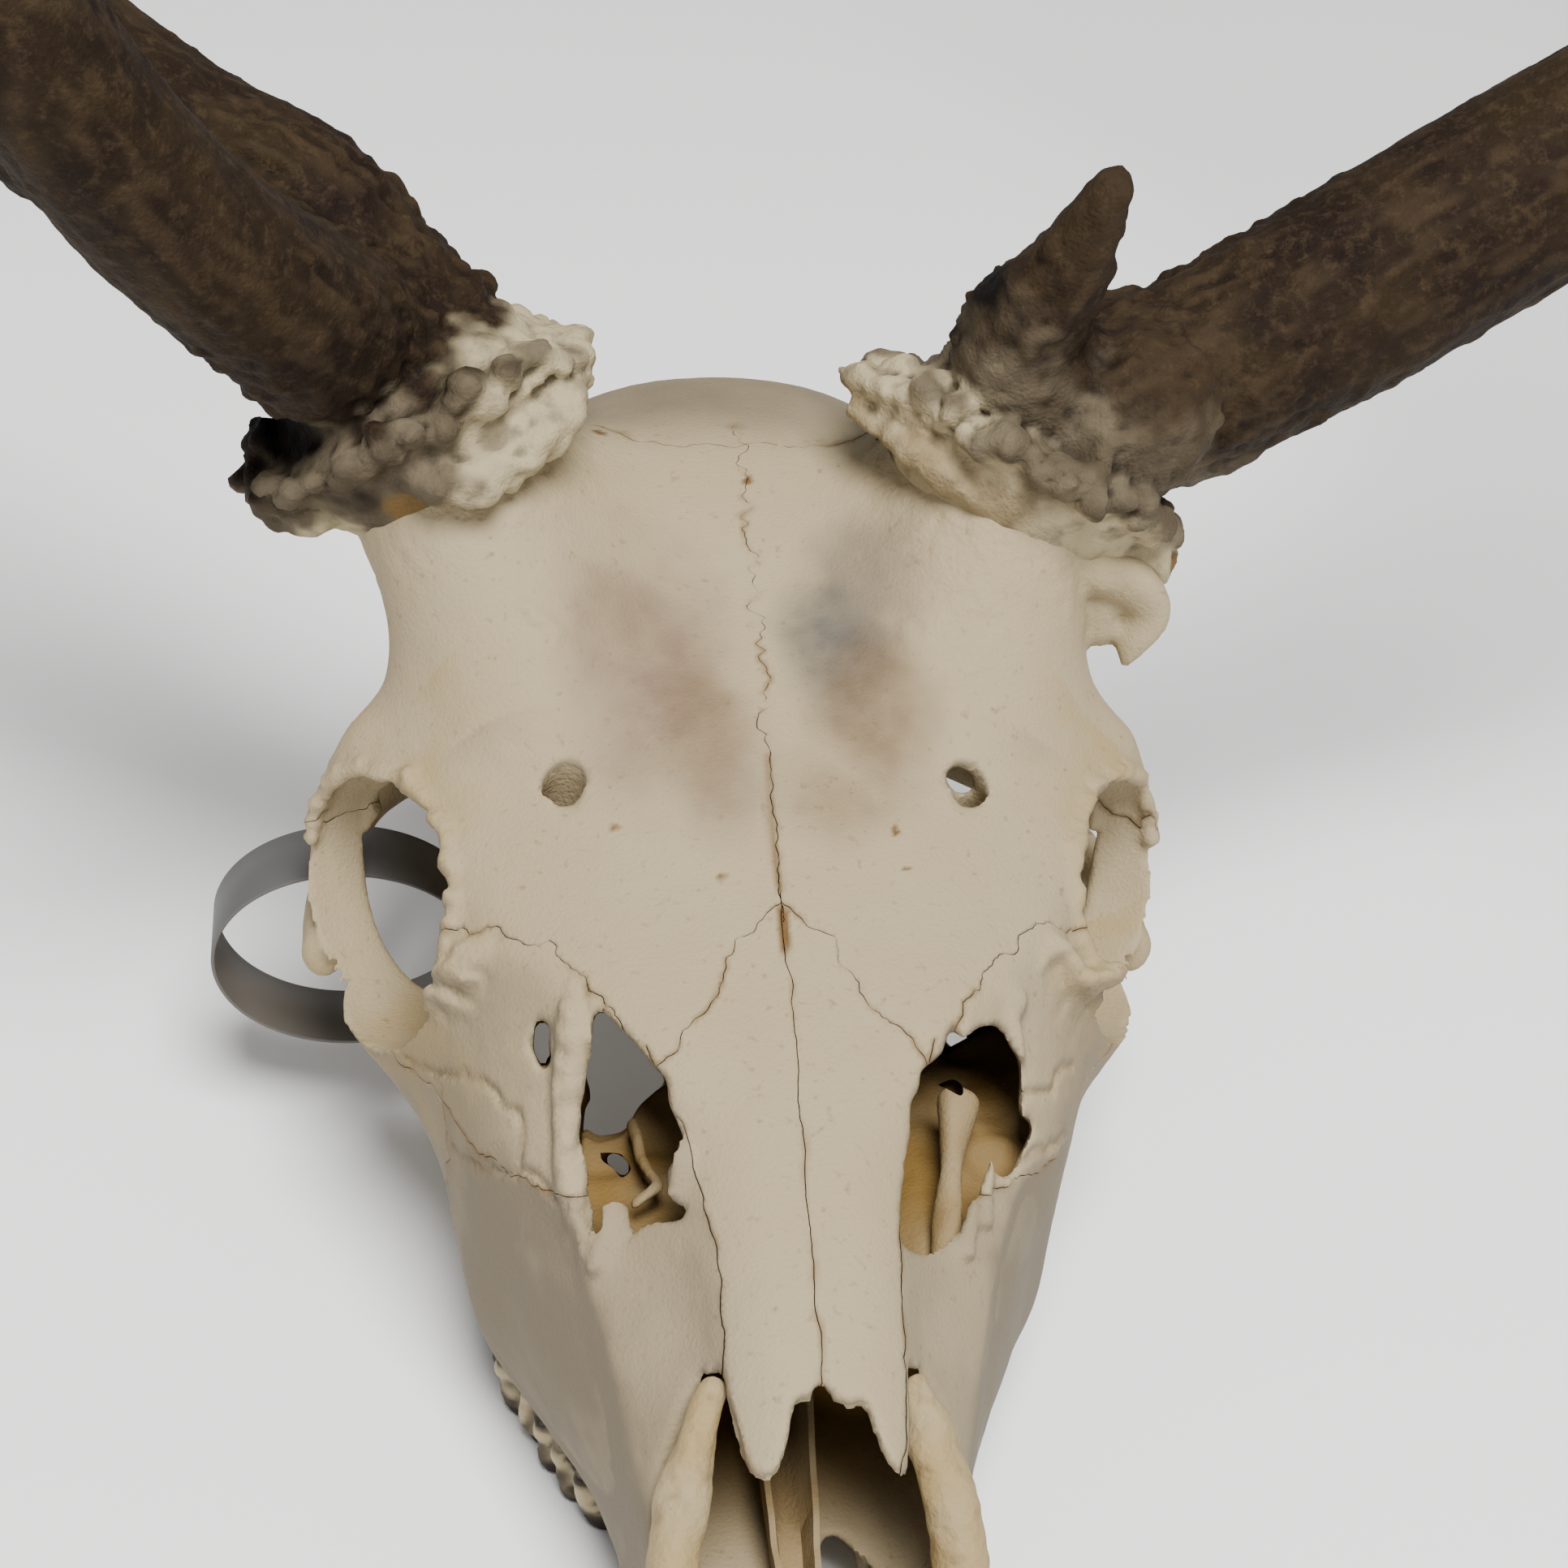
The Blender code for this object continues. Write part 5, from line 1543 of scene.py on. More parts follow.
@dataclass
class FrontBones:
    """The two slender jaw bones in front, and the trough and the thin bone inside the nose.

    Attributes:
        cell: Face width of the jaw bones' skin.
    """

    cell: float = 0.55

    def jaw_bone(self, side: Side) -> Object:
        """Makes one front jaw bone, a long side blade with a short inner prong.

        Args:
            side: The animal's side.

        Returns:
            The bone.
        """
        home = new_collection("jaw")
        rod("blade", ((5, 4.2, 9), (11, 10, 11.5), (16.5, 22, 14), (18.6, 35, 20), (18.4, 46.5, 32.5),
                      (15.4, 57.5, 44.5), (12.4, 65, 52.6)),
            ((4, 3), (5.4, 3.3), (3.8, 4), (3.2, 4.1), (3.3, 4.2), (3.3, 3.6), (1.8, 2)), home, side, 32,
            (0, -0.5, 0.8), 6)
        rod("prong", ((4.6, 4, 10), (4, 16, 10.5), (3.6, 30, 12), (3.3, 42.6, 13.5)),
            ((3.5, 2.6), (2.6, 2.2), (2, 1.8), (1, 1)), home, side, steps=6)
        piece = skin(gather("bone_premaxilla_" + side.word, home), self.cell, 2)
        shell = Skin(piece)
        high = step_up(shell.points[:, 1], 40, 56)
        shell.move((0.25 + 0.5 * high) * ripple(shell.points, 5, 8) + 0.2 * ripple(shell.points, 1.8, 9))
        shell.tell(ochre=0.5 + 0.4 * ripple(shell.points, 6, 54), coarse=np.ones(len(shell.points)),
                   dirt=0.4 * step_up(ripple(shell.points, 1.6, 55), 0.3, 0.9))
        return piece

    def trough(self) -> Object:
        """Makes the trough of thin bone that stands on the nose floor.

        Returns:
            The bone.
        """
        home = new_collection("trough")
        rings = []
        for y in np.linspace(50, 119, 90):
            low = flow(NOSE_LINES["floor"], y)[0, 1] + 0.5
            high = low + flow(((50, 4), (70, 9), (100, 22), (119, 28)), y)[0, 0]
            high += 0.5 * ripple(np.array([[y, 0.0, 0.0]]), 3.0, 3)[0]
            flare = flow(((50, 1.5), (70, 2.6), (119, 3.5)), y)[0, 0]
            half = [(-flare, y, high), (-flare - 0.8, y, high), (-flare - 0.6, y, (high + low) / 2),
                    (-1.6, y, low)]
            inner = (-flare * 0.6, y, (high + low * 2) / 3)
            rings.append([*half, *mirror(half, Side.RIGHT)[::-1], mirror(inner, Side.RIGHT),
                          (0, y, low + 2.2), inner])
        piece = wrap("bone_vomer", rings, home)
        bpy.data.collections.remove(home)
        shell = Skin(piece)
        shell.tell(amber=0.5 + 0.2 * ripple(shell.points, 6, 53))
        return piece

    def inner_bone(self, side: Side) -> Object:
        """Makes the thin amber bone that is seen through the window in one side of the nose.

        Args:
            side: The animal's side.

        Returns:
            The bone.
        """
        home = new_collection("inner")
        if side is Side.LEFT:
            plan = ((15.9, 99.1), (19.6, 103), (26.6, 107), (30, 104), (29.5, 92), (26, 79), (19, 66),
                    (9, 66), (9.5, 83), (13.5, 96.5))
            ridge = [(24, 108, 59), (22, 99, 57), (20.6, 92, 54.5), (20, 86, 50.5)]
            radii = (3, 1.5, 2, 2.2)
        else:
            plan = ((-16.4, 97.3), (-12.5, 96.5), (-13, 73), (-22.5, 70.5), (-28, 69), (-27.8, 87.4),
                    (-25.4, 87.8), (-22.3, 88.9), (-19.8, 93.6), (-17.2, 96.6))
            ridge = [(-18.6, 112, 52), (-17.9, 104.4, 53), (-16.4, 98, 54), (-19.6, 95, 53)]
            radii = [0.9] * len(ridge)
        Head().along_sight(plan, 41, 49, home)
        rod("ridge", ridge, radii, home, sides=16, steps=6)
        piece = skin(gather("bone_inner_" + side.word, home), self.cell, 3)
        shell = Skin(piece)
        p = shell.points
        waves = 2.2 * ripple(p, 9, 12) + 0.8 * ripple(p, 3.5, 13)
        shell.points[:, 2] += step_up(p[:, 2], 44, 48) * waves
        shell.put()
        tools = new_collection("holes")
        Head().along_sight(THROUGH[side][1], 20, 80, tools)
        cut(piece, tools)
        shell = Skin(piece)
        p = shell.points
        shell.tell(amber=0.85 + 0.2 * ripple(p, 6, 51) - 0.3 * step_up(p[:, 2], 51, 55))
        return piece

    def dress(self, finish: "BoneFinish") -> None:
        """Makes these bones and gives them their colours and places.

        Args:
            finish: Its material.
        """
        for side in Side:
            made = ((self.jaw_bone(side), "premaxilla_" + side.word), (self.inner_bone(side),))
            for piece, *nodes in made:
                finish.paint(piece)
                settle(piece, "bone", *nodes)
        trough = self.trough()
        finish.paint(trough)
        settle(trough, "bone", "vomer")


@dataclass
class Antler:
    """One antler, from its burr to the points of its palm.

    Attributes:
        side: The animal's side that it grows on.
        cell: Face width of its skin.
        gap: Width of the cut between its lower and upper piece.
        upper_share: The share of the upper piece's faces that stays.
        knobs: Number of nodules round the burr.
        pearls: Number of small pearls above the burr.
        limbs: The middle line and the radii of each limb added.
    """

    side: Side
    cell: float = 0.75
    gap: float = 0.1
    upper_share: float = 0.55
    knobs: int = 48
    pearls: int = 130
    limbs: list[tuple[Array, Array]] = field(default_factory=list)

    # The beam's bends, and the brow tines' bends from the burr's middle. Then the beam's radius by
    # the way along, the palm's half thickness and half width by share, and its points by share,
    # reach and lift.
    BENDS = {
        Side.LEFT: ((61, 190, 122), (108, 204, 144.5), (152, 213, 173), (186, 224, 213), (202, 234, 262),
                    (203, 240, 312), (196, 244, 372), (184, 246, 430), (172, 246, 478)),
        Side.RIGHT: ((-63, 199, 138), (-80, 205.5, 143.5), (-106, 219, 156), (-152, 228, 182),
                     (-186, 234, 222), (-202, 240, 268), (-203, 244, 316), (-197, 246, 374),
                     (-186, 247, 432), (-174, 246, 482)),
    }
    BROW_RIGHT = ((-12, -6, 15), (-19, -19, 27), (-33, -32, 46), (-48, -43, 74), (-57, -50, 106),
                  (-57, -54, 138), (-49, -56, 166))
    BROW_LEFT = ((2, -2, 10), (-4, -8, 24), (-1, -13, 36), (3, -17, 51))
    RADIUS = ((0, 16.5), (10, 14.5), (30, 14), (60, 15), (110, 15), (160, 13.8), (250, 12.5), (300, 12))
    PALM = ((0, 9.5, 22), (0.2, 7, 32), (0.45, 5.5, 42), (0.7, 4.8, 44), (0.88, 4.2, 34), (1, 2.2, 12))
    POINTS = ((0.18, 34, -0.1), (0.36, 20, 0.25), (0.52, 26, 0.45), (0.68, 20, 0.7), (0.84, 30, 1.0),
              (0.99, 24, 2.2))
    # Fleshy lobes beside the burr: the bends of each and its radii.
    LOBES = {
        Side.LEFT: ((((13, 187, 124), (16.6, 182.5, 124.6), (20.6, 179, 124.6), (25, 176, 124),
                      (29, 174, 122), (33.6, 172.6, 119.6)),
                     (2, 3, 3.6, 3.9, 4, 3.6)),
                    (((34, 171, 117.5), (39, 170.4, 115), (44.5, 171.4, 111.5), (50.5, 173, 108)),
                     (3.4, 4.6, 4.8, 4.4)),
                    (((52, 174, 106.5), (56.5, 174.6, 103.6), (58.4, 173.4, 99.8)),
                     (4.4, 4.2, 2.6)),
                    (((13.7, 182.7, 120.8), (16.5, 179.6, 120.5), (19.7, 176.4, 120),
                      (23, 172.7, 118.9), (26.9, 170.3, 117), (31.6, 168.3, 114.7)),
                     (2, 2.4, 2.7, 2.8, 2.8, 2.4))),
        Side.RIGHT: ((((-66.3, 185, 114.5), (-65.6, 181.5, 110.5), (-63.5, 178.2, 107.6),
                       (-59.3, 175.8, 108)),
                      (3.4, 5.2, 5.4, 4.6)),
                     (((-25.6, 184.7, 125.5), (-27.2, 178.4, 124.4), (-30.3, 172.7, 122.5),
                       (-33.8, 170.1, 120.2), (-38, 167.1, 118.3), (-42.5, 165.9, 117.7),
                       (-46.9, 166.6, 117.7)),
                      (3.2, 3.8, 4, 4, 3.8, 3.4, 2.8)))}
    # Where the burr is pale, black and rusty: a place and a radius.
    PALE = {Side.LEFT: ((17, 182, 123, 10), (26, 175, 122, 9), (33, 171, 118, 8), (42, 168, 112, 9),
                        (51, 171, 108, 8), (57, 173, 101, 6), (47, 174, 117, 5), (20, 177, 116, 7),
                        (28, 171, 113, 7)),
            Side.RIGHT: ((-33, 176, 121, 14), (-26, 190, 125, 13), (-38, 170, 116, 9),
                         (-58, 174, 105, 5), (-44, 168, 113, 5))}
    BLACK = {Side.LEFT: ((32.1, 174, 126.8, 3.2), (25.6, 178.6, 135.7, 2.6), (30, 175, 143, 5),
                         (24.5, 180.5, 131, 2.5)),
             Side.RIGHT: ((-65, 184, 118, 7), (-60, 177, 116.5, 7), (-54, 173, 115.5, 5.5),
                          (-48.5, 171, 114.5, 3), (-68.5, 184, 111, 3))}
    STRIP = LOBES[Side.LEFT][-1][0]
    RUSTY = {Side.LEFT: ((60, 174, 102, 2), (59.5, 173, 97, 2)),
             Side.RIGHT: ((-46, 169, 113, 4.6), (-49, 169.5, 112.5, 3))}
    STEPS = 120
    FORK, PALM_FOOT, SAW_HALF = 40, 68, 19

    def __post_init__(self) -> None:
        """Works out the middle line of the beam."""
        self.burr = np.array(BURRS[self.side])
        self.axis = mirror(unit(PEDICLE_AXIS), self.side)
        foot = [self.burr + self.axis * rise for rise in (-2.4, 7)]
        dense = curve([*foot, *self.BENDS[self.side]], 12)
        lengths = lengths_along(dense)
        spaced = np.linspace(0, lengths[-1], self.STEPS + 1)
        self.path = np.column_stack([np.interp(spaced, lengths, dense[:, k]) for k in range(3)])
        self.step = spaced[1]
        self.wide = np.array([0.05 * self.side.value, -1.0, 0.1])

    def limb(self, points: Sequence, radii: Sequence, home: Collection, sides: int = 32,
             flat: Sequence[float] = (0, 0, 1)) -> None:
        """Adds one round or flat limb, and remembers its line for the grain.

        Args:
            points: Its middle line.
            radii: Its radius, or pair of radii, at each point.
            home: The collection to put it in.
            sides: Points in a ring.
            flat: The direction of the second radius.
        """
        line = np.array(points, float)
        size = np.array([max(r) if hasattr(r, "__len__") else r for r in radii], float)
        self.limbs.append((line, size))
        hose("limb", line, radii, home, sides, flat)

    def beam(self, home: Collection) -> None:
        """Adds the beam and the palm that it widens to.

        Args:
            home: The collection to put it in.
        """
        burr = self.burr
        low = [burr + self.axis * rise for rise in (-2.4, 0, 3, 6.5)] + list(self.path[8:self.FORK + 3])
        radii = [15.5, 16.5, 17, 16] + [flow(self.RADIUS, (i + 8) * self.step)[0, 0]
                                        for i in range(self.FORK - 5)]
        self.limb(low, radii, home, 48)
        widths = []
        for i in range(self.FORK, self.PALM_FOOT + 3):
            widen = min(max(0, (i - self.FORK) / 4 - 3.5) / 3.5, 1)
            widths.append((13 - 3.5 * widen, 13 + 9 * widen))
        self.limb(self.path[self.FORK:self.PALM_FOOT + 3], widths, home, 48, self.wide)
        palm = self.path[self.PALM_FOOT:]
        shares = np.linspace(0, 1, len(palm))
        self.limb(palm, flow(self.PALM, shares), home, 64, self.wide)
        for share, reach, lift in self.POINTS:
            i = int(share * (len(palm) - 1))
            root = palm[i] + np.array([0, flow(self.PALM, share)[0, 1] - 12, 0])
            way = unit((-0.05 * self.side.value, 1, lift)) * (reach + 12)
            line = [root + way * k for k in (0, 0.25, 0.5, 0.75, 1)]
            self.limb(line, [(4.5, 8), (4.3, 7), (3.8, 5.8), (2.6, 3.6), (1, 1.2)], home, 24, (0, 0, 1))
        root = palm[-6] + np.array([0, -18, -14])
        line = [root + unit((0, -0.45, 1)) * k for k in (0, 9, 18, 26, 34)]
        self.limb(line, [(4, 8), (3.8, 6.8), (3.2, 5), (2.2, 3), (1, 1.2)], home, 24, (0, 1, 0))

    def tines(self, home: Collection) -> None:
        """Adds the brow tine and the middle tine.

        Args:
            home: The collection to put it in.
        """
        fork = self.path[self.FORK - 4]
        s = self.side.value
        line = curve([fork, fork + (2 * s, -6, 4), fork + (6 * s, -32, 18), fork + (9 * s, -62, 44),
                      fork + (6 * s, -82, 80)], 8)
        t = np.linspace(0, 1, len(line))
        self.limb(line, 11 - 8.6 * t ** 1.25, home)
        burr = self.burr
        if self.side is Side.LEFT:
            line = curve(burr + np.array(((4, 0, 3), *self.BROW_LEFT)), 8)
            taper = ((0, 11.5), (8, 12.5), (18, 8.2), (26, 5.2), (32, 2.7))
            foot, widths = ((2, -2, 5), (8, -6, 9), (14, -7, 13), (18, -6, 16)), (14, 10)
        else:
            line = curve(burr + np.array(((-4, 0, 4), *self.BROW_RIGHT)), 8)
            taper = ((0, 11.5), (8, 12.5), (18, 11.2), (32, 9.9), (46, 6.8), (56, 1.9))
            foot, widths = ((-5, 3, 6), (-20, -2, 22), (-36, -8, 36), (-50, -14, 48)), (13, 6)
        web = curve(burr + np.array(foot), 8)
        self.limb(web, np.linspace(*widths, len(web)), home)
        self.limb(line, flow(taper, np.arange(len(line)))[:, 0], home)

    def rosette(self, home: Collection) -> None:
        """Adds the nodules of the burr and the pearls above it.

        Args:
            home: The collection to put it in.
        """
        rng = np.random.default_rng(7 if self.side is Side.LEFT else 11)
        across = unit(np.cross(self.axis, (0, 1, 0)))
        back = np.cross(self.axis, across)
        wide = 1.2 if self.side is Side.LEFT else 2.2
        hose("plate", [self.burr + self.axis * r for r in (-1.9, -0.4, 2, 4.5)],
             [20 + wide, 21.5 + wide, 21.5 + wide, 18 + wide], home, 64)
        for k in range(self.knobs):
            turn = 2 * math.pi * (k + rng.uniform(-0.4, 0.4)) / self.knobs
            out = across * math.cos(turn) + back * math.sin(turn)
            size = rng.uniform(1.8, 3.1)
            rise = -2.5 + size * 0.8 + rng.uniform(0, 3.5)
            reach = rng.uniform(20.2, 22.2) + wide
            axes = (out, np.cross(self.axis, out), self.axis)
            radii = (size * 1.2, size * rng.uniform(0.8, 1.1), size * 0.9)
            lump(self.burr + out * reach + self.axis * rise, radii, home, axes, 3)
        for bends, radii in self.LOBES[self.side]:
            line, sizes = curve(bends, 5), curve(radii, 5)
            hose("lobe", line, sizes * 0.85, home, 20)
            for at, size in zip(line, sizes):
                for _ in range(5):
                    way = unit(rng.normal(0, 1, 3))
                    lump(at + way * size * 0.75, size * rng.uniform(0.28, 0.46, 3), home, None, 3)
        for k in range(self.pearls):
            turn = rng.uniform(0, 2 * math.pi)
            out = across * math.cos(turn) + back * math.sin(turn)
            rise = 2 + 15 * rng.random() ** 1.4
            size = rng.uniform(1.0, 2.4)
            reach = 19.6 - 0.42 * rise + rng.uniform(-0.6, 0.3)
            centre = self.burr + out * reach + self.axis * rise
            lump(centre, size * rng.uniform(0.7, 1.3, 3), home, None, 2)

    def grain(self, shell: Skin) -> dict[str, Array]:
        """Finds for each point where it lies on its limb.

        Args:
            shell: The antler's points.

        Returns:
            The way along and across the limb in millimetres, and the share from root to tip.
        """
        p = shell.points
        best = np.full(len(p), FAR)
        out = {key: np.zeros(len(p)) for key in ("along", "u", "v", "share")}
        for line, size in self.limbs:
            lengths = lengths_along(line)
            side = unit((0.3, 0.2, 1))
            for i, (point, radius) in enumerate(zip(line, size)):
                tangent = unit(line[min(i + 1, len(line) - 1)] - line[max(i - 1, 0)])
                side = unit(side - tangent * (side @ tangent))
                other = np.cross(tangent, side)
                offset = p - point
                depth = np.linalg.norm(offset, axis=1) - radius * 0.8
                near = depth < best
                best[near] = depth[near]
                out["along"][near] = lengths[i] + offset[near] @ tangent
                out["u"][near] = offset[near] @ side
                out["v"][near] = offset[near] @ other
                out["share"][near] = lengths[i] / lengths[-1]
        return out

    def weather(self, body: Object) -> None:
        """Gives the antler its grooves and pearls, and stores what its colours need.

        Args:
            body: The body to work on.
        """
        shell = Skin(body)
        p = shell.points
        where = self.grain(shell)
        cells = np.column_stack([where["along"] / 5.5, where["u"] / 1.5, where["v"] / 1.5])
        cells += 0.5 * np.column_stack([ripple(p, 7, k) for k in (46, 47, 48)])
        grooves = ripple(cells, 1.0, 3)
        long_cells = np.column_stack([where["along"] / 22.0, where["u"] / 4.0, where["v"] / 4.0])
        coarse = ripple(long_cells, 1.0, 4)
        away = np.linalg.norm(p - self.burr, axis=1)
        base = 1 - step_up(away, 24, 70)
        pearls = step_up(ripple(p, 3.0, 6), 0.1, 0.75)
        smooth_tip = step_up(where["share"], 0.5, 0.95)
        height = (0.22 * grooves + 0.3 * coarse) * (1 - 0.6 * smooth_tip) + pearls * (0.25 + 0.7 * base)
        height += (0.1 + 0.3 * base) * ripple(p, 1.5, 7)
        seat = (p - self.burr) @ self.axis
        height *= step_up(seat, -2.3, -0.8)
        out = np.linalg.norm(p - self.burr - np.outer(seat, self.axis), axis=1)
        rim = step_up(out, 20, 22) * (1 - step_up(seat, 4, 8))
        height += rim * (0.7 * ripple(p, 4.5, 8) + 0.45 * ripple(p, 2, 9))
        shell.move(height)
        shell = Skin(body)
        p = shell.points
        seat = (p - self.burr) @ self.axis
        spread = 19 if self.side is Side.LEFT else 8
        ragged = 5 * ripple(p, 6, 41) + 3 * ripple(p, 2.5, 42)
        rust = spots(p, self.RUSTY[self.side], 45)
        if self.side is Side.LEFT:
            strip = along_lines(p, [self.STRIP], 7.5)
            rust = np.maximum(rust, 0.5 * strip * (1 + 0.6 * ripple(p, 3, 49)))
        # The crease share is painted shade in the hollows, on top of the grooves' own dark colour.
        shell.tell(crease=0.5 + 0.5 * shell.hollow(3), rust=rust, streak=0.5 + 0.5 * grooves,
                   tip=smooth_tip, base=1 - step_up(seat + ragged, 0.3 * spread, spread),
                   pale=spots(p, self.PALE[self.side], 43),
                   char=spots(p, self.BLACK[self.side], 44))

    def build(self) -> None:
        """Makes the antler and parts it at its fork."""
        home = new_collection("antler")
        self.beam(home)
        self.tines(home)
        self.rosette(home)
        body = skin(gather("antler", home), self.cell, 2)
        self.weather(body)
        saws = new_collection("saws")
        point = self.path[self.FORK + 12]
        way = unit(self.path[self.FORK + 13] - self.path[self.FORK + 11])
        one = unit(np.cross(way, (0, 1, 0)))
        two = np.cross(way, one)
        ends = (-self.SAW_HALF, self.SAW_HALF)
        rows = [[point + one * a + two * b for a in ends] for b in ends]
        blade(np.array(rows), saws, self.gap)
        cut(body, saws)
        self.body = body

    def dress(self, finish: "AntlerFinish") -> None:
        """Parts the antler in two pieces and gives them their colours and places.

        Args:
            finish: Its material.
        """
        shell = Skin(self.body)
        part = shell.loose()
        sizes = np.bincount(part, minlength=len(part))
        lower, upper = sorted(np.argsort(-sizes)[:2], key=lambda k: shell.points[part == k, 2].mean())
        lower = shell.copy_part("antler_%s_low" % self.side.word, part == lower)
        upper = shell.copy_part("antler_%s_high" % self.side.word, part == upper)
        bpy.data.objects.remove(self.body)
        thin_out(upper, self.upper_share)
        nodes = ["antler_%s_%s" % (self.side.word, part)
                 for part in ("lower_beam", "brow_tine", "middle_tine", "upper_beam", "palm")]
        for piece, stands_for in ((lower, nodes[:3]), (upper, nodes[3:])):
            finish.paint(piece)
            settle(piece, "antler", *stands_for)


@dataclass
class LabelBand:
    """The closed loop of plain stiff tape round the right cheek arch.

    Attributes:
        width: Width of the tape.
        thick: Thickness of the tape.
        steps: Sides of the loop.
    """

    width: float = 12.0
    thick: float = 0.6
    steps: int = 168

    def build(self) -> Object:
        """Makes the loop as a flat-edged band with slightly rounded corners.

        Returns:
            The band.
        """
        home = new_collection("band")
        half, soft = self.width / 2, 0.12
        section = [(-half, soft), (-half, self.thick - soft), (-half + soft, self.thick),
                   (half - soft, self.thick), (half, self.thick - soft), (half, soft), (half - soft, 0),
                   (-half + soft, 0)]
        rings = []
        for turn in np.linspace(0, 2 * math.pi, self.steps + 1):
            x, z = math.cos(turn), math.sin(turn)
            rings.append([((BAND_RADII[0] + rise) * x, across, (BAND_RADII[1] + rise) * z)
                          for across, rise in section])
        piece = wrap("label_band", np.array(BAND_CENTRE) + rings, home)
        shell = Skin(piece)
        flat = (shell.points - BAND_CENTRE)[:, (0, 2)] / (np.array(BAND_RADII) + self.thick / 2)
        shell.tell(outer=np.where(np.linalg.norm(flat, axis=1) > 1, 1.0, 0.0))
        return piece


class Finish:
    """What covers some pieces: one material, made when the first of them is painted."""

    NAME = ""
    ROUGH = 0.5

    def look(self, tree: bpy.types.NodeTree, shader: bpy.types.Node) -> None:
        """Adds the nodes that give the material its look."""
        raise NotImplementedError

    def paint(self, piece: Object) -> None:
        """Puts the material on a piece and shades it smooth up to its sharp edges.

        Args:
            piece: The piece to cover.
        """
        made = bpy.data.materials.get(self.NAME)
        if made is None:
            made = bpy.data.materials.new(self.NAME)
            made.use_nodes = True
            shader = made.node_tree.nodes["Principled BSDF"]
            shader.inputs["Roughness"].default_value = self.ROUGH
            self.look(made.node_tree, shader)
        piece.data.materials.clear()
        piece.data.materials.append(made)
        piece.data.shade_smooth()
        piece.data.set_sharp_from_angle(angle=SHARP)


@dataclass(frozen=True)
class BoneFinish(Finish):
    """Dry cleaned bone: ivory, stained and cracked, amber inside the nose, with crusted teeth, and with
    painted shade on its sides, back and creases.

    Attributes:
        ivory: The clean bone.
        cream: Its warmer patches.
        amber: The thin bone inside the nose.
        grime_and_shade: Dirt in seams and specks, and painted shade in creases.
        mauve: The pink-grey stain on the right brow.
        slate: The grey stain on the left brow.
        umber: The brown stain below it.
        ochre: The yellowed flanks, jaw bones and edge of the left burr's seat.
        shade: Painted shade on the steep sides, the cheeks and the back.
        crust: The dark crust on the teeth.
        enamel: The clean parts of the teeth.
    """

    ivory: str = "9C8F74"
    cream: str = "978665"
    amber: str = "6F5527"
    grime_and_shade: str = "5E4524"
    mauve: str = "6C5747"
    slate: str = "4E4B44"
    umber: str = "5F4A30"
    ochre: str = "8F7748"
    shade: str = "695E4B"
    crust: str = "1C120A"
    enamel: str = "AB9C7C"

    NAME = "dry bone"
    ROUGH = 0.7

    def look(self, tree: bpy.types.NodeTree, shader: bpy.types.Node) -> None:
        """Gives the ivory its clouds and specks, and the stains, dirt and painted shade that the pieces
        tell.

        Args:
            tree: The material's nodes.
            shader: Its shader.
        """
        place = add_node(tree, "TexCoord").outputs["Object"]
        # Ivory with warmer clouds some 20 mm wide, as bleaching leaves it.
        clouds = add_node(tree, "TexNoise", {"Vector": place, "Scale": 50.0, "Detail": 5.0})
        # Specks of dirt about 1 mm wide, as on any handled old bone.
        specks = add_node(tree, "TexNoise", {"Vector": place, "Scale": 700.0, "Detail": 4.0})
        few = add_node(tree, "MapRange", {0: specks.outputs[0], 1: 0.62, 2: 0.78, 4: 0.5})
        layers = [(clouds.outputs[0], self.cream), (few.outputs[0], self.grime_and_shade)]
        for name, code in (("shade", self.shade), ("mauve", self.mauve), ("slate", self.slate),
                           ("umber", self.umber), ("ochre", self.ochre), ("amber", self.amber),
                           ("tooth", self.enamel), ("dirt", self.grime_and_shade), ("crust", self.crust)):
            told = add_node(tree, "Attribute", attribute_name=name)
            layers.append((told.outputs["Fac"], code))
        colour = linear(self.ivory)
        for much, code in layers:
            colour = add_node(tree, "Mix", {0: much, 6: colour, 7: linear(code)},
                              data_type="RGBA").outputs[2]
        tree.links.new(colour, shader.inputs["Base Color"])
        shader.inputs["Specular IOR Level"].default_value = 0.25
        # A fine tooth of 0.4 mm under the light, and pores where the bone is coarse.
        fine = add_node(tree, "TexNoise", {"Vector": place, "Scale": 1800.0, "Detail": 3.0})
        pores = add_node(tree, "TexVoronoi", {"Vector": place, "Scale": 800.0})
        coarse = add_node(tree, "Attribute", attribute_name="coarse").outputs["Fac"]
        height = pores.outputs["Distance"]
        for kind, other in (("MULTIPLY", coarse), ("ADD", fine.outputs[0])):
            height = add_node(tree, "Math", {0: height, 1: other}, operation=kind).outputs[0]
        bump = add_node(tree, "Bump", {"Height": height, "Strength": 0.6, "Distance": 0.0003})
        tree.links.new(bump.outputs[0], shader.inputs["Normal"])


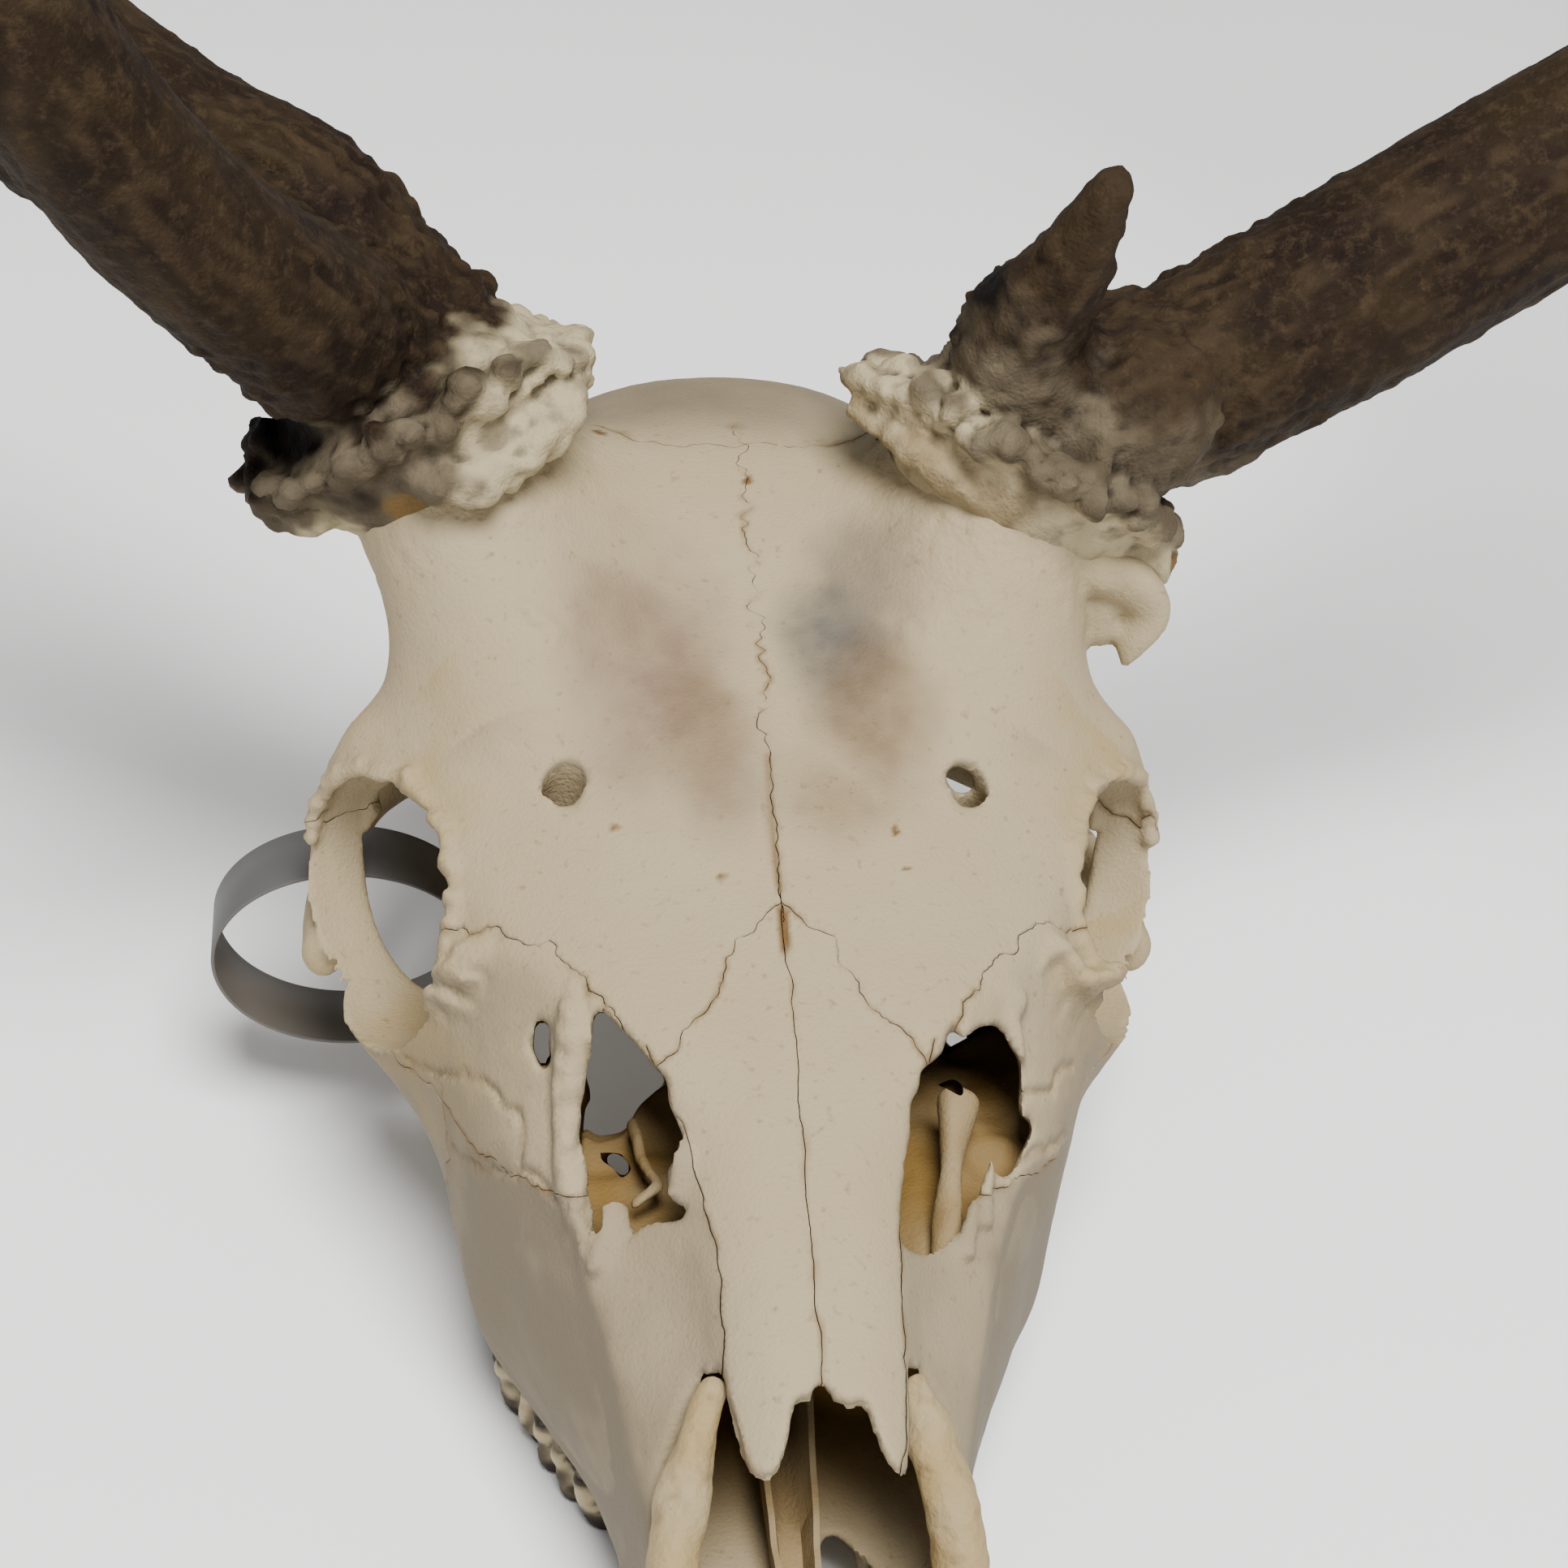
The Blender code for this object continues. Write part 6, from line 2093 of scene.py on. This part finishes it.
@dataclass(frozen=True)
class AntlerFinish(Finish):
    """Dry antler: dark brown with tan ridges, greying to cream at the burr.

    Attributes:
        dark: The grooves and creases, darker by their own colour and by painted shade.
        brown: The body.
        tan: The ridges and the rubbed tips.
        olive: Its greenish patches.
        cream: The nodules of the burr.
        grey: The greyed parts of the burr.
        rust: The orange stain at the burr.
        char: The black stain at the burr.
    """

    dark: str = "080403"
    brown: str = "170D07"
    tan: str = "3D3020"
    olive: str = "241A0D"
    cream: str = "9F9274"
    grey: str = "5F5544"
    rust: str = "665130"
    char: str = "0A0603"

    NAME = "dry antler"
    ROUGH = 0.78

    def look(self, tree: bpy.types.NodeTree, shader: bpy.types.Node) -> None:
        """Lays patches, ridges, flecks, stains and painted shade in the creases over the brown.

        Args:
            tree: The material's nodes.
            shader: Its shader.
        """
        place = add_node(tree, "TexCoord").outputs["Object"]
        much = {}
        # Each noise with its scale, detail and roughness, the range taken and the range given.
        for name, scale, detail, rough, taken, given in (
                # Brown and olive patches some 15 mm wide, rubbed and stained by bark.
                ("patches", 70.0, 6.0, 0.6, (0.38, 0.62), (0.0, 1.0)),
                # Tan flecks about 2 mm wide, where the bark of the ridges has worn off.
                ("flecks", 430.0, 8.0, 0.8, (0.5, 0.7), (0.0, 0.8)),
                # Blots some 8 mm wide that stay dark on the greyed burr.
                ("blots", 130.0, 5.0, 0.5, (0.35, 0.6), (1.0, 0.45)),
                # Spots some 4 mm wide on the cream nodules, browned by the dirt between them.
                ("soil", 260.0, 6.0, 0.5, (0.5, 0.72), (0.0, 0.7))):
            noise = add_node(tree, "TexNoise", {"Vector": place, "Scale": scale, "Detail": detail,
                                                "Roughness": rough})
            much[name] = add_node(tree, "MapRange", {
                0: noise.outputs[0], 1: taken[0], 2: taken[1], 3: given[0], 4: given[1]}).outputs[0]
        for name in ("streak", "tip", "base", "pale", "rust", "char", "crease"):
            much[name] = add_node(tree, "Attribute", attribute_name=name).outputs["Fac"]
        for name, low, high, most in (("streak", 0.5, 0.9, 0.45), ("crease", 0.55, 0.9, 0.7)):
            much[name] = add_node(tree, "MapRange", {
                0: much[name], 1: low, 2: high, 4: most}).outputs[0]
        for name, factor in (("tip", 0.3), ("base", much["blots"])):
            much[name] = add_node(tree, "Math", {0: much[name], 1: factor},
                                  operation="MULTIPLY").outputs[0]
        brown, tan, grey, cream = map(linear, (self.brown, self.tan, self.grey, self.cream))
        nodules = add_node(tree, "Mix", {0: much["soil"], 6: cream, 7: grey},
                           data_type="RGBA").outputs[2]
        colour = brown
        for name, over in (("patches", linear(self.olive)), ("streak", tan), ("flecks", tan),
                           ("tip", tan), ("base", grey), ("pale", nodules), ("rust", linear(self.rust)),
                           ("char", linear(self.char)), ("crease", linear(self.dark))):
            colour = add_node(tree, "Mix", {0: much[name], 6: colour, 7: over},
                              data_type="RGBA").outputs[2]
        tree.links.new(colour, shader.inputs["Base Color"])
        shader.inputs["Specular IOR Level"].default_value = 0.12
        # A grain of about 0.5 mm, as the dry surface shows under a low light.
        fine = add_node(tree, "TexNoise", {"Vector": place, "Scale": 1500.0, "Detail": 4.0})
        bump = add_node(tree, "Bump", {"Height": fine.outputs[0], "Strength": 0.8, "Distance": 0.0004})
        tree.links.new(bump.outputs[0], shader.inputs["Normal"])


@dataclass(frozen=True)
class TapeFinish(Finish):
    """Plain stiff tape, cool grey outside and a warmer grey inside.

    Attributes:
        outer: Its outer face.
        inner: Its inner face.
    """

    outer: str = "4C4B4A"
    inner: str = "4F4A43"

    NAME = "plain label tape"
    ROUGH = 0.5

    def look(self, tree: bpy.types.NodeTree, shader: bpy.types.Node) -> None:
        """Gives each face of the tape its own colour.

        Args:
            tree: The material's nodes.
            shader: Its shader.
        """
        # Smooth coated film, which shows a soft sheen and no grain.
        face = add_node(tree, "Attribute", attribute_name="outer").outputs["Fac"]
        colour = add_node(tree, "Mix", {0: face, 6: linear(self.inner), 7: linear(self.outer)},
                          data_type="RGBA").outputs[2]
        tree.links.new(colour, shader.inputs["Base Color"])


@dataclass(frozen=True)
class FloorFinish(Finish):
    """A pale matt floor.

    Attributes:
        paper: Its colour.
    """

    paper: str = "F6F6F5"

    NAME = "pale paper"
    ROUGH = 0.8

    def look(self, tree: bpy.types.NodeTree, shader: bpy.types.Node) -> None:
        """Gives the floor its one colour, even and matt as uncoated paper."""
        shader.inputs["Base Color"].default_value = linear(self.paper)


@dataclass
class Studio:
    """The floor, the light and the camera.

    Attributes:
        lamp_power: Power of the overhead light, in watts.
        lamp_size: Width of the overhead light, in metres.
        lamp_at: Where it hangs, in metres.
        fill: Brightness of the light from all round.
        floor_half: Half the width of the floor, in metres.
    """

    lamp_power: float = 37.0
    lamp_size: float = 0.6
    lamp_at: tuple[float, float, float] = (0.05, -0.6, 1.22)
    fill: float = 0.5
    floor_half: float = 3.0

    def floor(self) -> None:
        """Lays the pale floor that the skull rests on."""
        bm = bmesh.new()
        bmesh.ops.create_grid(bm, x_segments=1, y_segments=1, size=self.floor_half)
        piece = keep("floor", bm, bpy.context.scene.collection)
        FloorFinish().paint(piece)

    def lights(self) -> None:
        """Hangs a broad soft light above, and fills from all round."""
        lamp = bpy.data.lights.new("overhead", "AREA")
        lamp.shape = "DISK"
        lamp.size = self.lamp_size
        lamp.energy = self.lamp_power
        place = bpy.data.objects.new("overhead", lamp)
        bpy.context.scene.collection.objects.link(place)
        at = Vector(self.lamp_at)
        place.matrix_world = Matrix.Translation(at) @ at.to_track_quat("Z", "Y").to_matrix().to_4x4()
        world = bpy.data.worlds.new("studio")
        bpy.context.scene.world = world
        world.use_nodes = True
        sky = world.node_tree.nodes["Background"]
        sky.inputs["Color"].default_value = (1, 1, 1, 1)
        sky.inputs["Strength"].default_value = self.fill

    def camera(self) -> None:
        """Sets the camera where the photo was taken."""
        lens = bpy.data.cameras.new("camera")
        lens.lens = LENS_MM
        lens.sensor_width = SENSOR_MM
        lens.clip_start = 0.01
        made = bpy.data.objects.new("camera", lens)
        bpy.context.scene.collection.objects.link(made)
        axes = [unit(v) for v in (CAMERA_RIGHT, CAMERA_UP, CAMERA_BACK)]
        turn = Matrix(axes).transposed().to_4x4()
        made.matrix_world = Matrix.Translation(Vector(CAMERA_AT) * MM + SHIFT) @ turn
        bpy.context.scene.camera = made


def working_shift() -> Vector:
    """How far the model's frame lies from the working frame, found from the label band's box."""
    low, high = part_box("tag_band")
    return (Vector(low) + Vector(high)) / 2 - Vector(BAND_CENTRE) * MM


SHIFT = working_shift()


def main() -> None:
    """Builds the skull piece by piece and sets the studio."""
    logging.basicConfig(level=logging.INFO, format="%(name)s: %(message)s")
    bone = BoneFinish()
    head = Head()
    head.build()
    head.dress(bone)
    FrontBones().dress(bone)
    for side in Side:
        antler = Antler(side)
        antler.build()
        antler.dress(AntlerFinish())
    band = LabelBand().build()
    TapeFinish().paint(band)
    settle(band, "tape", "tag_band")
    studio = Studio()
    studio.floor()
    studio.lights()
    studio.camera()


if __name__ == "__main__":
    main()
